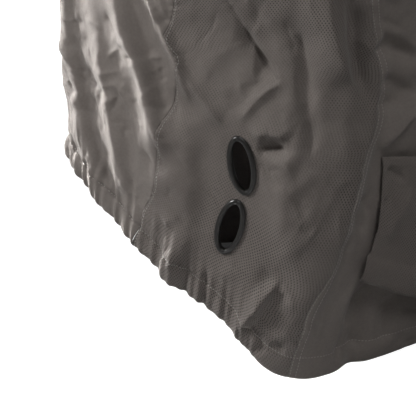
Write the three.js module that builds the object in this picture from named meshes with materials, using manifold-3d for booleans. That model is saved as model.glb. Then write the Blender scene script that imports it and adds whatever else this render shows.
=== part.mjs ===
// A motorcycle cover in its draped shape, hollow inside, with a gathered front hem and two eyelets.
// Millimetres. X runs from the front (-X) to the tail, the left side is -Y, Z is up from the lowest hem.
import * as THREE from "three";
import { mergeVertices } from "three/addons/utils/BufferGeometryUtils.js";
import Module from "manifold-3d";

const wasm = await Module();
wasm.setup();

// Cloth, seams and hem
const CLOTH = 2;
const SEAM_GAP = 0.4;
const CROWN_DROP = 0.1;
const FOLD_FADE = 0.3;
const FOLD_STEPS = 10;
const FOLD_CUTOFF = 2.6;

// Gathers of the elastic hem: their rise and number, how far up they reach and where they fade out,
// then the slow swing of their height and of their spacing
const GATHER = {
  rise: 2.4, perStation: 2.6, reach: 0.05, fade: 0.3, swing: 0.25, swingRate: 5.3, drift: 1.2, driftRate: 3.1,
};

// Eyelets
const EYELET = { width: 30, height: 64, holeWidth: 18, holeHeight: 52, flange: 2.5, clear: 0.5 };
const PAD = {
  centre: [-966, -170, 213.5], facing: [-0.75, -0.655, -0.06], width: 46, height: 136, blend: 28,
};

// The flap on the left side panel: the stations of its sides and the drops of its ends
const FLAP = { columns: 10, rows: 8, stand: 2, lift: 7, bulge: 8, bulgeReach: 0.35 };
const FLAP_LEFT = { top: 3.37, middle: 3.4, bottom: 3.35 };
const FLAP_RIGHT = { top: 4.16, middle: 4.18, bottom: 4.2 };
const FLAP_TOP = { left: 0.856, right: 0.86 };
const FLAP_BOTTOM = { left: 0.933, right: 0.98 };

// Stations run 0 at the nose, down the left side to 10 at the tail, and back on the right to 20.
// Each row gives five points down the cloth. rightRise lifts the right hem, rightTuck draws it in.
const SECTIONS = [
  { at: "nose", ridge: [-630, 0, 1130], shoulder: [-945, 0, 900], hip: [-1064, 0, 650],
    skirt: [-1049, 0, 400], hem: [-1056, 0, 208], rightRise: 0, rightTuck: 0 },
  { at: "nose corner", ridge: [-620, 0, 1136], shoulder: [-910, -95, 905], hip: [-1040, -114, 655],
    skirt: [-1014, -118, 400], hem: [-1024, -95, 132], rightRise: 78, rightTuck: 52 },
  { at: "corner", ridge: [-600, 0, 1146], shoulder: [-865, -173, 918], hip: [-992, -189, 665],
    skirt: [-963, -189, 405], hem: [-976, -147, 80], rightRise: 84, rightTuck: 36 },
  { at: "lobe", ridge: [-570, 0, 1160], shoulder: [-797, -244, 938], hip: [-910, -254, 679],
    skirt: [-883, -249, 416], hem: [-908, -194, 11], rightRise: 66, rightTuck: 16 },
  { at: "fork", ridge: [-520, 0, 1176], shoulder: [-650, -310, 965], hip: [-713, -280, 672],
    skirt: [-705, -263, 403], hem: [-705, -198, 19], rightRise: -18, rightTuck: 0 },
  { at: "bars", ridge: [-430, 0, 1172], shoulder: [-430, -405, 1010], hip: [-390, -345, 700],
    skirt: [-370, -312, 400], hem: [-380, -285, 70], rightRise: 0, rightTuck: 0 },
  { at: "tank", ridge: [-70, 0, 1010], shoulder: [-30, -245, 890], hip: [10, -300, 660],
    skirt: [30, -318, 380], hem: [30, -312, 78], rightRise: 0, rightTuck: 0 },
  { at: "seat", ridge: [370, 0, 915], shoulder: [410, -190, 820], hip: [450, -255, 620],
    skirt: [470, -288, 360], hem: [475, -290, 52], rightRise: 6, rightTuck: 0 },
  { at: "rear wheel", ridge: [650, 0, 890], shoulder: [750, -160, 800], hip: [830, -205, 600],
    skirt: [855, -218, 360], hem: [855, -200, 8], rightRise: 10, rightTuck: 0 },
  { at: "tail corner", ridge: [790, 0, 862], shoulder: [920, -95, 765], hip: [1015, -125, 585],
    skirt: [1038, -132, 370], hem: [1015, -102, 118], rightRise: 8, rightTuck: 0 },
  { at: "tail", ridge: [840, 0, 850], shoulder: [980, 0, 752], hip: [1064, 0, 580],
    skirt: [1080, 0, 380], hem: [1052, 0, 196], rightRise: 0, rightTuck: 0 },
];
const STATIONS = 2 * (SECTIONS.length - 1);
const TAIL = STATIONS / 2;
const ACROSS_RIDGE = 120;
const RIGHT_SKIRT_RISE = 0.43;

// Seams: the station of each at a drop, drop 0 being the ridge and drop 1 the hem.
const FRONT_SEAM = [
  { drop: 0.0, station: 1.0 }, { drop: 0.6, station: 1.02 }, { drop: 0.74, station: 1.07 },
  { drop: 0.775, station: 1.0 }, { drop: 0.8, station: 1.15 }, { drop: 0.835, station: 1.12 },
  { drop: 0.862, station: 1.05 }, { drop: 0.915, station: 1.04 }, { drop: 0.965, station: 0.89 },
  { drop: 1.0, station: 0.82 },
];
const SECOND_SEAM = [
  { drop: 0.0, station: 3.0 }, { drop: 0.6, station: 3.08 }, { drop: 0.74, station: 3.13 },
  { drop: 0.82, station: 3.3 }, { drop: 0.86, station: 3.2 }, { drop: 0.91, station: 3.16 },
  { drop: 0.955, station: 2.98 }, { drop: 1.0, station: 2.94 },
];
const REAR_SEAM = [{ drop: 0.0, station: 8.7 }, { drop: 1.0, station: 8.7 }];

// Folds: a path of [station, drop] points, the rise (a trough is negative) and a width on each side.
const FOLDS = [
  // Broad swells round the front corner
  { path: [[0.3, 0.9], [1.2, 0.905], [2.2, 0.915], [3.1, 0.925]], rise: 9, near: 36, far: 62 },
  { path: [[0.6, 0.765], [1.5, 0.77], [2.4, 0.775], [3.2, 0.78]], rise: -8, near: 46, far: 44 },
  // Front panel
  { path: [[0.38, 0.7], [0.6, 0.775], [0.78, 0.812], [0.95, 0.853], [1.12, 0.89]],
    rise: 5, near: 16, far: 9 },
  { path: [[0.46, 0.69], [0.68, 0.765], [0.86, 0.806], [1.02, 0.845], [1.14, 0.875]],
    rise: -10, near: 7, far: 28 },
  { path: [[0.6, 0.7], [0.82, 0.74], [1.0, 0.777], [1.15, 0.802], [1.27, 0.825]],
    rise: 3, near: 14, far: 5 },
  { path: [[0.18, 0.7], [0.27, 0.765], [0.4, 0.831], [0.55, 0.896], [0.76, 0.958]],
    rise: 3, near: 12, far: 11 },
  { path: [[0.0, 0.79], [0.09, 0.839], [0.22, 0.898], [0.37, 0.934], [0.52, 0.957], [0.7, 0.985]],
    rise: -5, near: 6, far: 10 },
  { path: [[0.64, 0.848], [0.7, 0.885], [0.78, 0.92], [0.86, 0.961]], rise: -4, near: 10, far: 14 },
  { path: [[-0.14, 0.58], [-0.14, 0.74], [-0.06, 0.826], [0.22, 0.921], [0.36, 0.958], [0.54, 0.99]],
    rise: 5, near: 18, far: 7 },
  { path: [[19.55, 0.6], [19.6, 0.76], [19.7, 0.96]], rise: 9, near: 20, far: 20 },
  { path: [[19.25, 0.68], [19.2, 0.85], [19.25, 1.05]], rise: -8, near: 18, far: 18 },
  { path: [[0.5, 0.42], [0.42, 0.55], [0.36, 0.72]], rise: 10, near: 24, far: 20 },
  { path: [[19.6, 0.36], [19.7, 0.5], [19.75, 0.66]], rise: 9, near: 24, far: 24 },
  // Left corner panel
  { path: [[3.28, 0.78], [3.22, 0.835], [3.17, 0.885], [3.09, 0.925], [2.99, 0.96], [2.95, 1]],
    rise: 11, near: 32, far: 12 },
  { path: [[2.23, 0.895], [2.34, 0.908], [2.54, 0.935], [2.72, 0.957]], rise: -7, near: 12, far: 20 },
  { path: [[2.74, 0.931], [2.52, 0.962], [2.32, 0.996]], rise: 7, near: 7, far: 4 },
  { path: [[2.84, 0.937], [2.61, 0.964], [2.44, 0.994]], rise: -4, near: 3, far: 5 },
  { path: [[1.18, 0.803], [1.51, 0.826], [1.9, 0.853]], rise: 2.5, near: 10, far: 6 },
  { path: [[1.9, 0.763], [2.1, 0.787], [2.32, 0.804]], rise: -6, near: 12, far: 5 },
  { path: [[2.39, 0.798], [2.11, 0.825], [1.93, 0.844]], rise: 3, near: 7, far: 9 },
  { path: [[2.4, 0.75], [2.59, 0.787], [2.72, 0.828], [2.83, 0.856]], rise: -6, near: 8, far: 9 },
  { path: [[2.74, 0.716], [2.82, 0.761], [2.92, 0.786], [3.05, 0.808]], rise: 9, near: 20, far: 7 },
  { path: [[2.95, 0.718], [3.01, 0.773], [3.1, 0.802], [3.24, 0.828]], rise: -9, near: 10, far: 12 },
  { path: [[2.1, 0.858], [2.36, 0.854], [2.65, 0.85]], rise: -6, near: 6, far: 11 },
  { path: [[2.21, 0.816], [2.64, 0.858], [2.78, 0.894], [2.63, 0.942]], rise: 4, near: 30, far: 40 },
  { path: [[1.62, 0.86], [1.72, 0.9], [1.7, 0.95]], rise: -7, near: 16, far: 16 },
  { path: [[1.28, 1.04], [1.36, 0.98], [1.42, 0.94]], rise: 8, near: 11, far: 11 },
  { path: [[1.5, 0.4], [1.62, 0.56], [1.7, 0.74]], rise: 12, near: 24, far: 22 },
  { path: [[2.4, 0.4], [2.4, 0.56], [2.3, 0.74]], rise: -11, near: 24, far: 24 },
  // Left side panel
  { path: [[3.49, 0.926], [3.47, 0.947], [3.45, 0.972], [3.44, 1], [3.42, 1.05]],
    rise: -9, near: 16, far: 14 },
  { path: [[3.23, 0.776], [3.38, 0.783], [3.56, 0.795]], rise: -6, near: 8, far: 8 },
  { path: [[3.27, 0.804], [3.42, 0.811], [3.59, 0.82]], rise: -7, near: 9, far: 9 },
  { path: [[3.61, 0.816], [3.48, 0.832], [3.34, 0.852]], rise: 7, near: 11, far: 8 },
  { path: [[5.0, 0.26], [4.6, 0.42], [4.3, 0.62]], rise: 20, near: 34, far: 30 },
  { path: [[5.0, 0.28], [4.9, 0.5], [4.75, 0.78]], rise: 22, near: 34, far: 34 },
  { path: [[4.8, 0.36], [4.6, 0.56], [4.45, 0.8]], rise: -16, near: 30, far: 30 },
  { path: [[5.05, 0.28], [5.3, 0.5], [5.4, 0.84]], rise: 20, near: 38, far: 34 },
  { path: [[5.15, 0.4], [5.2, 0.62], [5.15, 0.96]], rise: -14, near: 34, far: 34 },
  { path: [[5.1, 0.26], [5.6, 0.4], [6.0, 0.6]], rise: 16, near: 40, far: 36 },
  { path: [[6.3, 0.2], [6.2, 0.46], [6.1, 0.9]], rise: 16, near: 44, far: 40 },
  { path: [[6.6, 0.24], [6.6, 0.54], [6.5, 1.06]], rise: -15, near: 44, far: 44 },
  { path: [[7.0, 0.2], [7.0, 0.5], [6.9, 0.86]], rise: 15, near: 42, far: 38 },
  { path: [[7.5, 0.22], [7.5, 0.55], [7.6, 1.06]], rise: -13, near: 42, far: 44 },
  { path: [[8.0, 0.26], [8.1, 0.55], [8.1, 0.9]], rise: 13, near: 36, far: 34 },
  { path: [[4.1, 0.8], [4.2, 0.92], [4.2, 1.06]], rise: 10, near: 24, far: 24 },
  { path: [[5.75, 0.76], [5.8, 0.9], [5.85, 1.06]], rise: 13, near: 34, far: 30 },
  { path: [[7.2, 0.78], [7.2, 0.9], [7.15, 1.06]], rise: 12, near: 34, far: 34 },
  // Rear panel
  { path: [[9.3, 0.3], [9.25, 0.6], [9.3, 0.95]], rise: 11, near: 26, far: 24 },
  { path: [[10.0, 0.3], [10.1, 0.62], [10.0, 1.04]], rise: -9, near: 26, far: 26 },
  { path: [[10.7, 0.26], [10.6, 0.6], [10.7, 0.9]], rise: 11, near: 26, far: 26 },
  // Right side panels
  { path: [[11.8, 0.26], [11.8, 0.6], [11.9, 1.04]], rise: -12, near: 38, far: 38 },
  { path: [[12.3, 0.2], [12.4, 0.5], [12.3, 0.9]], rise: 15, near: 42, far: 42 },
  { path: [[13.0, 0.22], [12.9, 0.55], [13.1, 1.06]], rise: -15, near: 46, far: 44 },
  { path: [[13.6, 0.2], [13.5, 0.56], [13.6, 0.96]], rise: 15, near: 46, far: 44 },
  { path: [[15.0, 0.26], [14.4, 0.42], [14.0, 0.66]], rise: 17, near: 40, far: 40 },
  { path: [[15.0, 0.28], [14.8, 0.55], [14.75, 0.9]], rise: 20, near: 38, far: 36 },
  { path: [[15.0, 0.28], [15.25, 0.5], [15.3, 0.85]], rise: 20, near: 36, far: 36 },
  { path: [[15.05, 0.4], [15.05, 0.64], [15.1, 1.04]], rise: -15, near: 34, far: 34 },
  { path: [[15.1, 0.26], [15.6, 0.42], [15.9, 0.66]], rise: 17, near: 34, far: 34 },
  { path: [[16.6, 0.4], [16.5, 0.65], [16.6, 1.04]], rise: -11, near: 28, far: 28 },
  { path: [[17.3, 0.36], [17.2, 0.62], [17.3, 0.94]], rise: 12, near: 26, far: 26 },
  { path: [[18.2, 0.4], [18.3, 0.66], [18.2, 1.04]], rise: -10, near: 24, far: 24 },
];

// The gathered part of the hem: right round the nose and along the left corner panel, and at the tail.
const GATHERED = [
  { from: -2.0, to: 2.75 },
  { from: 8.9, to: 11.1 },
];

// Eyelet seats on the flat pad: the middle of each from the pad's middle, and the lean of its long axis.
const EYELET_SEATS = [
  { node: "eyelet_upper", across: 7, along: 34, lean: -8 },
  { node: "eyelet_lower", across: -6, along: -33, lean: 16 },
];

// Rows down the cloth, closest where the photograph shows it
const ROW_LEGS = [{ from: CROWN_DROP, to: 0.7, rows: 9 }, { from: 0.7, to: 1, rows: 18 }];
const DROPS = ROW_LEGS.flatMap(({ from, to, rows }) => (
  Array.from({ length: rows }, (_, k) => from + ((to - from) * k) / rows)
)).concat(1);

const FABRIC = { color: 0x6b6661, roughness: 0.82, metalness: 0 };
const DIAMOND_FABRIC = { color: 0x625d59, roughness: 0.86, metalness: 0 };
const MOULDED = { color: 0x1d1b1a, roughness: 0.45, metalness: 0 };

const lerp = (a, b, u) => a + (b - a) * u;
const clamp01 = (v) => Math.min(1, Math.max(0, v));
const ease = (v) => clamp01(v) ** 2 * (3 - 2 * clamp01(v));

// One coordinate of a Catmull-Rom curve through p1 and p2
function through(p0, p1, p2, p3, u) {
  const bend = 2 * p0 - 5 * p1 + 4 * p2 - p3;
  const twist = 3 * p1 - p0 - 3 * p2 + p3;
  return 0.5 * (2 * p1 + (p2 - p0) * u + bend * u * u + twist * u ** 3);
}

function curve(points, u) {
  return [0, 1, 2].map((axis) => through(...points.map((point) => point[axis]), u));
}

// The five points of a section, on the left as in the table or on the right as its uneven mirror
function sectionPoints(index) {
  const turn = ((index % STATIONS) + STATIONS) % STATIONS;
  const onRight = turn > TAIL;
  const row = SECTIONS[onRight ? STATIONS - turn : turn];
  const points = [row.ridge, row.shoulder, row.hip, row.skirt, row.hem];
  if (!onRight) return points;
  const tuck = [0, 0, row.rightTuck, row.rightTuck, row.rightTuck];
  const rise = [0, 0, 0, RIGHT_SKIRT_RISE * row.rightRise, row.rightRise];
  return points.map(([x, y, z], k) => [x, -y - tuck[k], z + rise[k]]);
}

// A point of the smooth cover
function basePoint(station, drop) {
  const first = Math.floor(station);
  const around = [-1, 0, 1, 2].map((k) => sectionPoints(first + k));
  const column = [0, 1, 2, 3, 4].map((k) => curve(around.map((row) => row[k]), station - first));
  const [ridge, shoulder] = column;
  const over = clamp01(Math.abs(shoulder[1]) / ACROSS_RIDGE);
  const before = ridge.map((v, axis) => {
    const onward = 2 * v - shoulder[axis];
    return lerp(onward, axis === 1 ? -shoulder[1] : shoulder[axis], over);
  });
  const after = column[4].map((v, axis) => 2 * v - column[3][axis]);
  const points = [before, ...column, after];
  const leg = Math.min(3, Math.max(0, Math.floor(drop * 4)));
  return curve(points.slice(leg, leg + 4), drop * 4 - leg);
}

// The outward normal of a surface given as a function of station and drop
function normalOf(surface, station, drop) {
  const step = 1e-3;
  const at = (s, d) => new THREE.Vector3(...surface(s, d));
  const along = at(station + step, drop).sub(at(station - step, drop));
  const down = at(station, drop + step).sub(at(station, Math.max(0, drop - step)));
  return down.cross(along).normalize();
}

// The station of a seam, or the value of any drop table, smooth between its rows
function seamStation(table, drop) {
  const last = table.length - 1;
  let k = 0;
  while (k < last - 1 && drop > table[k + 1].drop) k += 1;
  const u = ease((drop - table[k].drop) / (table[k + 1].drop - table[k].drop));
  return lerp(table[k].station, table[k + 1].station, u);
}

// A fold's path as points on the smooth cover
function foldLine(fold) {
  const { path } = fold;
  const legs = path.length - 1;
  const points = [];
  for (let k = 0; k <= FOLD_STEPS; k += 1) {
    const place = (k / FOLD_STEPS) * legs;
    const leg = Math.min(legs - 1, Math.floor(place));
    const [from, to] = [path[leg], path[leg + 1]];
    const station = lerp(from[0], to[0], place - leg);
    const drop = lerp(from[1], to[1], place - leg);
    points.push(new THREE.Vector3(...basePoint(station, drop)));
  }
  return { ...fold, points, box: new THREE.Box3().setFromPoints(points) };
}

const FOLD_LINES = FOLDS.map(foldLine);

// How far one fold lifts a point of the cloth
function foldRise(fold, point, normal) {
  const reach = FOLD_CUTOFF * Math.max(fold.near, fold.far);
  if (fold.box.distanceToPoint(point) > reach) return 0;
  let best = { distance: Infinity };
  for (let k = 0; k < FOLD_STEPS; k += 1) {
    const [a, b] = [fold.points[k], fold.points[k + 1]];
    const leg = b.clone().sub(a);
    const u = clamp01(point.clone().sub(a).dot(leg) / leg.lengthSq());
    const away = point.clone().sub(a.clone().addScaledVector(leg, u));
    const distance = away.length();
    if (distance < best.distance) best = { distance, away, leg, place: (k + u) / FOLD_STEPS };
  }
  const onNear = best.leg.clone().cross(normal).dot(best.away) > 0;
  const width = onNear ? fold.near : fold.far;
  const fade = ease(best.place / FOLD_FADE) * ease((1 - best.place) / FOLD_FADE);
  return fold.rise * fade * Math.exp(-((best.distance / width) ** 2));
}

// Small gathers drawn up along the elastic hem
function gatherRise(station, drop) {
  const near = ease((drop - (1 - GATHER.reach)) / GATHER.reach);
  if (near === 0) return 0;
  const turn = station > 0.75 * STATIONS ? station - STATIONS : station;
  const held = GATHERED.reduce((most, part) => {
    const inside = Math.min(turn - part.from, part.to - turn);
    return Math.max(most, ease(inside / GATHER.fade));
  }, 0);
  const uneven = 1 - GATHER.swing + GATHER.swing * Math.sin(turn * GATHER.swingRate);
  const phase = 2 * Math.PI * GATHER.perStation * turn + GATHER.drift * Math.sin(turn * GATHER.driftRate);
  return GATHER.rise * held * near * uneven * Math.sin(phase);
}

// Axes of the pad that holds the eyelets: across it, up along it, and facing out
function padAxes() {
  const out = new THREE.Vector3(...PAD.facing).normalize();
  const across = new THREE.Vector3(0, 0, 1).cross(out).normalize();
  return { across, along: out.clone().cross(across), out, centre: new THREE.Vector3(...PAD.centre) };
}

const PAD_AXES = padAxes();

// Cloth round the eyelets is drawn flat into the pad's plane, the far side of the cover left alone
function flattened(point) {
  const from = point.clone().sub(PAD_AXES.centre);
  const height = from.dot(PAD_AXES.out);
  if (Math.abs(height) > PAD.blend) return point;
  const x = Math.max(0, Math.abs(from.dot(PAD_AXES.across)) - PAD.width / 2);
  const y = Math.max(0, Math.abs(from.dot(PAD_AXES.along)) - PAD.height / 2);
  const share = ease(1 - Math.hypot(x, y) / PAD.blend);
  return point.addScaledVector(PAD_AXES.out, -share * height);
}

// A point of the draped cloth
function clothPoint(station, drop) {
  const point = new THREE.Vector3(...basePoint(station, drop));
  const normal = normalOf(basePoint, station, drop);
  const rise = FOLD_LINES.reduce((sum, fold) => sum + foldRise(fold, point, normal), 0);
  point.addScaledVector(normal, rise + gatherRise(station, drop));
  return flattened(point).toArray();
}

const clothVertex = (station, drop) => ({
  station,
  drop,
  point: new THREE.Vector3(...clothPoint(station, drop)),
  normal: normalOf(clothPoint, station, drop),
});

// A closed sheet: an outer skin of triangles, its copy one thickness inside, and a wall round the edge
function thickened(vertices, triangles, thickness) {
  const count = vertices.length;
  const positions = [];
  vertices.forEach(({ point }) => positions.push(...point.toArray()));
  vertices.forEach(({ point, normal }) => {
    positions.push(...point.clone().addScaledVector(normal, -thickness).toArray());
  });
  const faces = [];
  const edges = new Map();
  triangles.forEach(([a, b, c]) => {
    faces.push(a, b, c, a + count, c + count, b + count);
    [[a, b], [b, c], [c, a]].forEach(([from, to]) => edges.set(`${from},${to}`, [from, to]));
  });
  const at = (k) => new THREE.Vector3(...positions.slice(3 * k, 3 * k + 3));
  const span = (a, b) => at(a).distanceTo(at(b));
  edges.forEach(([from, to]) => {
    if (edges.has(`${to},${from}`)) return;
    const [fromIn, toIn] = [from + count, to + count];
    if (span(from, toIn) < span(to, fromIn)) faces.push(from, toIn, to, from, fromIn, toIn);
    else faces.push(from, fromIn, to, to, fromIn, toIn);
  });
  const geometry = new THREE.BufferGeometry();
  geometry.setAttribute("position", new THREE.Float32BufferAttribute(positions, 3));
  geometry.setIndex(faces);
  return geometry;
}

// Moves the sides and the top of a grid of vertices inward by half of the gap between neighbours
function drawnIn(grid) {
  const toward = (vertex, next) => {
    const step = next.point.clone().sub(vertex.point).setLength(SEAM_GAP / 2);
    vertex.point.add(step);
  };
  grid.forEach((row) => {
    toward(row[0], row[1]);
    toward(row[row.length - 1], row[row.length - 2]);
  });
  grid[0].forEach((vertex, k) => toward(vertex, grid[1][k]));
  return grid;
}

// How far the middle of the line between two vertices is from the cloth's true middle
function missBy(a, b) {
  const middle = a.point.clone().add(b.point).multiplyScalar(0.5);
  const cloth = clothPoint((a.station + b.station) / 2, (a.drop + b.drop) / 2);
  return middle.distanceTo(new THREE.Vector3(...cloth));
}

// The triangles between two rows of vertex numbers, row a above row b and both with stations rising.
// Each square is split along the diagonal that lies closer to the cloth.
function band(vertices, a, b) {
  const faces = [];
  for (let k = 0; k + 1 < a.length; k += 1) {
    const [p, q, r, s] = [a[k], a[k + 1], b[k], b[k + 1]];
    const falling = missBy(vertices[p], vertices[s]) < missBy(vertices[q], vertices[r]);
    if (falling) faces.push([p, r, s], [p, s, q]);
    else faces.push([p, r, q], [q, r, s]);
  }
  return faces;
}

function gridSolid(grid, thickness = CLOTH) {
  const vertices = grid.flat();
  const numbers = grid.map((row, r) => row.map((_, c) => r * row.length + c));
  const triangles = numbers.slice(1).flatMap((row, r) => band(vertices, numbers[r], row));
  return thickened(vertices, triangles, thickness);
}

// Panels: legs of columns between two seams, each end a seam table or a plain station
const PANELS = [
  { node: "front_panel", fabric: FABRIC, legs: [
    { from: 19, to: 20, columns: 8 }, { from: 0, to: FRONT_SEAM, columns: 13 }] },
  { node: "gusset_left", fabric: DIAMOND_FABRIC, legs: [
    { from: FRONT_SEAM, to: SECOND_SEAM, columns: 21 }] },
  { node: "side_left", fabric: FABRIC, legs: [
    { from: SECOND_SEAM, to: 4, columns: 7 }, { from: 4, to: 6, columns: 10 },
    { from: 6, to: REAR_SEAM, columns: 10 }] },
  { node: "rear_panel", fabric: FABRIC, legs: [
    { from: REAR_SEAM, to: 10, columns: 4 }, { from: 10, to: 11.3, columns: 4 }] },
  { node: "side_right", fabric: FABRIC, legs: [
    { from: 11.3, to: 14, columns: 9 }, { from: 14, to: 17, columns: 9 }] },
  { node: "gusset_right", fabric: DIAMOND_FABRIC, legs: [{ from: 17, to: 19, columns: 6 }] },
];

const endStation = (end, drop) => (typeof end === "number" ? end : seamStation(end, drop));

// The stations across a panel at one drop
function panelStations(panel, drop) {
  const stations = [endStation(panel.legs[0].from, drop)];
  panel.legs.forEach((leg) => {
    const [from, to] = [endStation(leg.from, drop), endStation(leg.to, drop)];
    for (let k = 1; k <= leg.columns; k += 1) stations.push(lerp(from, to, k / leg.columns));
  });
  return stations;
}

// The front panel's stations count on past the nose instead of starting again from 0
function countedOn(stations) {
  return stations.map((station) => (station < stations[0] ? station + STATIONS : station));
}

function panelGrid(panel) {
  return DROPS.map((drop) => countedOn(panelStations(panel, drop)).map((s) => clothVertex(s, drop)));
}

// The crown: a row on each side, closed along the ridge between them
const RIDGE_END = 0.1;

function crownSolid() {
  const stations = PANELS.flatMap((panel) => panelStations(panel, CROWN_DROP));
  const once = [...new Set(stations.map((s) => Number((s % STATIONS).toFixed(6))))].sort((a, b) => a - b);
  const left = once.filter((s) => s <= TAIL);
  const right = [...once.filter((s) => s >= TAIL), STATIONS].reverse();
  const vertices = [];
  const ridge = left.map((s) => vertices.push(ridgeVertex(s)) - 1);
  const leftRow = left.map((s) => vertices.push(clothVertex(s, CROWN_DROP)) - 1);
  const rightRow = right.map((s) => vertices.push(clothVertex(s, CROWN_DROP)) - 1);
  drawEdgeIn(vertices, leftRow);
  drawEdgeIn(vertices, rightRow);
  const rightFaces = bandByStation(ridge, left, rightRow, right).map(([a, b, c]) => [a, c, b]);
  return welded(vertices, [...bandByStation(ridge, left, leftRow, left), ...rightFaces]);
}

// A vertex of the ridge, its normal taken a little inside the crown's two ends
function ridgeVertex(station) {
  const inside = Math.min(TAIL - RIDGE_END, Math.max(RIDGE_END, station));
  const point = new THREE.Vector3(...clothPoint(station, 0));
  return { station, drop: 0, point, normal: normalOf(clothPoint, inside, 0) };
}

// Moves the crown's edge up the cloth by half of the gap between neighbours
function drawEdgeIn(vertices, edge) {
  edge.forEach((number) => {
    const { station, drop, point } = vertices[number];
    const higher = new THREE.Vector3(...clothPoint(station, drop - CROWN_DROP / 10));
    point.add(higher.sub(point).setLength(SEAM_GAP / 2));
  });
}

// Triangles between two rows with different numbers of points, taken in order along the ridge
function bandByStation(upper, upperStations, lower, lowerStations) {
  const faces = [];
  let [i, j] = [0, 0];
  const mirrored = lowerStations.map((s) => Math.min(s, STATIONS - s));
  while (i + 1 < upper.length || j + 1 < lower.length) {
    const upperNext = i + 1 < upper.length ? upperStations[i + 1] : Infinity;
    const lowerNext = j + 1 < lower.length ? mirrored[j + 1] : Infinity;
    if (upperNext <= lowerNext) {
      faces.push([upper[i], lower[j], upper[i + 1]]);
      i += 1;
    } else {
      faces.push([upper[i], lower[j], lower[j + 1]]);
      j += 1;
    }
  }
  return faces;
}

// Joins vertices at the same place, then thickens, so the two halves of the crown share their ends
function welded(vertices, triangles) {
  const first = new Map();
  const number = vertices.map(({ point }, k) => {
    const key = point.toArray().map((v) => v.toFixed(2)).join();
    if (!first.has(key)) first.set(key, k);
    return first.get(key);
  });
  const kept = [...new Set(number)];
  const place = new Map(kept.map((k, at) => [k, at]));
  const faces = triangles
    .map((face) => face.map((k) => place.get(number[k])))
    .filter(([a, b, c]) => a !== b && b !== c && c !== a);
  return thickened(kept.map((k) => vertices[k]), faces, CLOTH);
}

// The station of a flap's side at a share of the way down, bowed through its middle
function flapStation(side, v) {
  const straight = lerp(side.top, side.bottom, v);
  const bow = side.middle - (side.top + side.bottom) / 2;
  return straight + 4 * v * (1 - v) * bow;
}

// The flap stands off the side panel, most at its free lower edge
function flapGrid() {
  const grid = [];
  for (let r = 0; r <= FLAP.rows; r += 1) {
    const v = r / FLAP.rows;
    const [left, right] = [flapStation(FLAP_LEFT, v), flapStation(FLAP_RIGHT, v)];
    grid.push(Array.from({ length: FLAP.columns + 1 }, (_, c) => {
      const u = c / FLAP.columns;
      const top = lerp(FLAP_TOP.left, FLAP_TOP.right, u);
      const bottom = lerp(FLAP_BOTTOM.left, FLAP_BOTTOM.right, u);
      const vertex = clothVertex(lerp(left, right, u), lerp(top, bottom, v));
      const bulge = FLAP.bulge * ease(u / FLAP.bulgeReach);
      vertex.point.addScaledVector(vertex.normal, CLOTH + FLAP.stand + FLAP.lift * v * v + bulge);
      return vertex;
    }));
  }
  return grid;
}

// Solids for joining and cutting
const SAME_PLACE = 1e-3;

function asManifold(geometry) {
  const bare = geometry.clone();
  bare.deleteAttribute("normal");
  bare.deleteAttribute("uv");
  const merged = mergeVertices(bare, SAME_PLACE);
  return new wasm.Manifold(new wasm.Mesh({
    numProp: 3,
    vertProperties: new Float32Array(merged.attributes.position.array),
    triVerts: new Uint32Array(merged.index.array),
  }));
}

function asGeometry(manifold) {
  const mesh = manifold.getMesh();
  const geometry = new THREE.BufferGeometry();
  const positions = new Float32Array(mesh.vertProperties);
  geometry.setAttribute("position", new THREE.BufferAttribute(positions, 3));
  geometry.setIndex(new THREE.BufferAttribute(new Uint32Array(mesh.triVerts), 1));
  return geometry;
}

// Places a shape made round the origin and facing +Z on an eyelet's seat
function seated(geometry, seat) {
  const { across, along, out, centre } = PAD_AXES;
  const pad = new THREE.Matrix4().makeBasis(across, along, out).setPosition(centre);
  geometry.rotateZ(THREE.MathUtils.degToRad(-seat.lean));
  geometry.translate(seat.across, seat.along, 0);
  return geometry.applyMatrix4(pad);
}

// The ring's section, round from the hole: the share of the way to the rim, and the height over the cloth
const COLLAR_SHARE = 0.5;
const FRONT = EYELET.clear;
const BACK = -CLOTH - EYELET.clear;
const RING_SECTION = [
  { share: 0, height: BACK - EYELET.flange }, { share: 0, height: FRONT + EYELET.flange },
  { share: 1, height: FRONT + EYELET.flange }, { share: 1, height: FRONT },
  { share: COLLAR_SHARE, height: FRONT }, { share: COLLAR_SHARE, height: BACK },
  { share: 1, height: BACK }, { share: 1, height: BACK - EYELET.flange },
];
const RING_STEPS = 36;

// A moulded ring with a flange on each face of the cloth and a collar through its hole
function eyelet(seat) {
  const { width, height: length, holeWidth, holeHeight } = EYELET;
  const sides = RING_SECTION.length;
  const positions = [];
  const faces = [];
  for (let step = 0; step < RING_STEPS; step += 1) {
    const angle = (2 * Math.PI * step) / RING_STEPS;
    const next = (step + 1) % RING_STEPS;
    RING_SECTION.forEach(({ share, height }, k) => {
      const x = (lerp(holeWidth, width, share) / 2) * Math.cos(angle);
      const y = (lerp(holeHeight, length, share) / 2) * Math.sin(angle);
      positions.push(x, y, height);
      const [a, b] = [k, (k + 1) % sides];
      const [here, there] = [step * sides, next * sides];
      faces.push(here + a, here + b, there + b, here + a, there + b, there + a);
    });
  }
  const geometry = new THREE.BufferGeometry();
  geometry.setAttribute("position", new THREE.Float32BufferAttribute(positions, 3));
  geometry.setIndex(faces);
  return seated(geometry, seat);
}

// The hole in the cloth that an eyelet's collar passes through
const OVAL_SEGMENTS = 9;
const CUT_REACH = 12;

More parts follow.
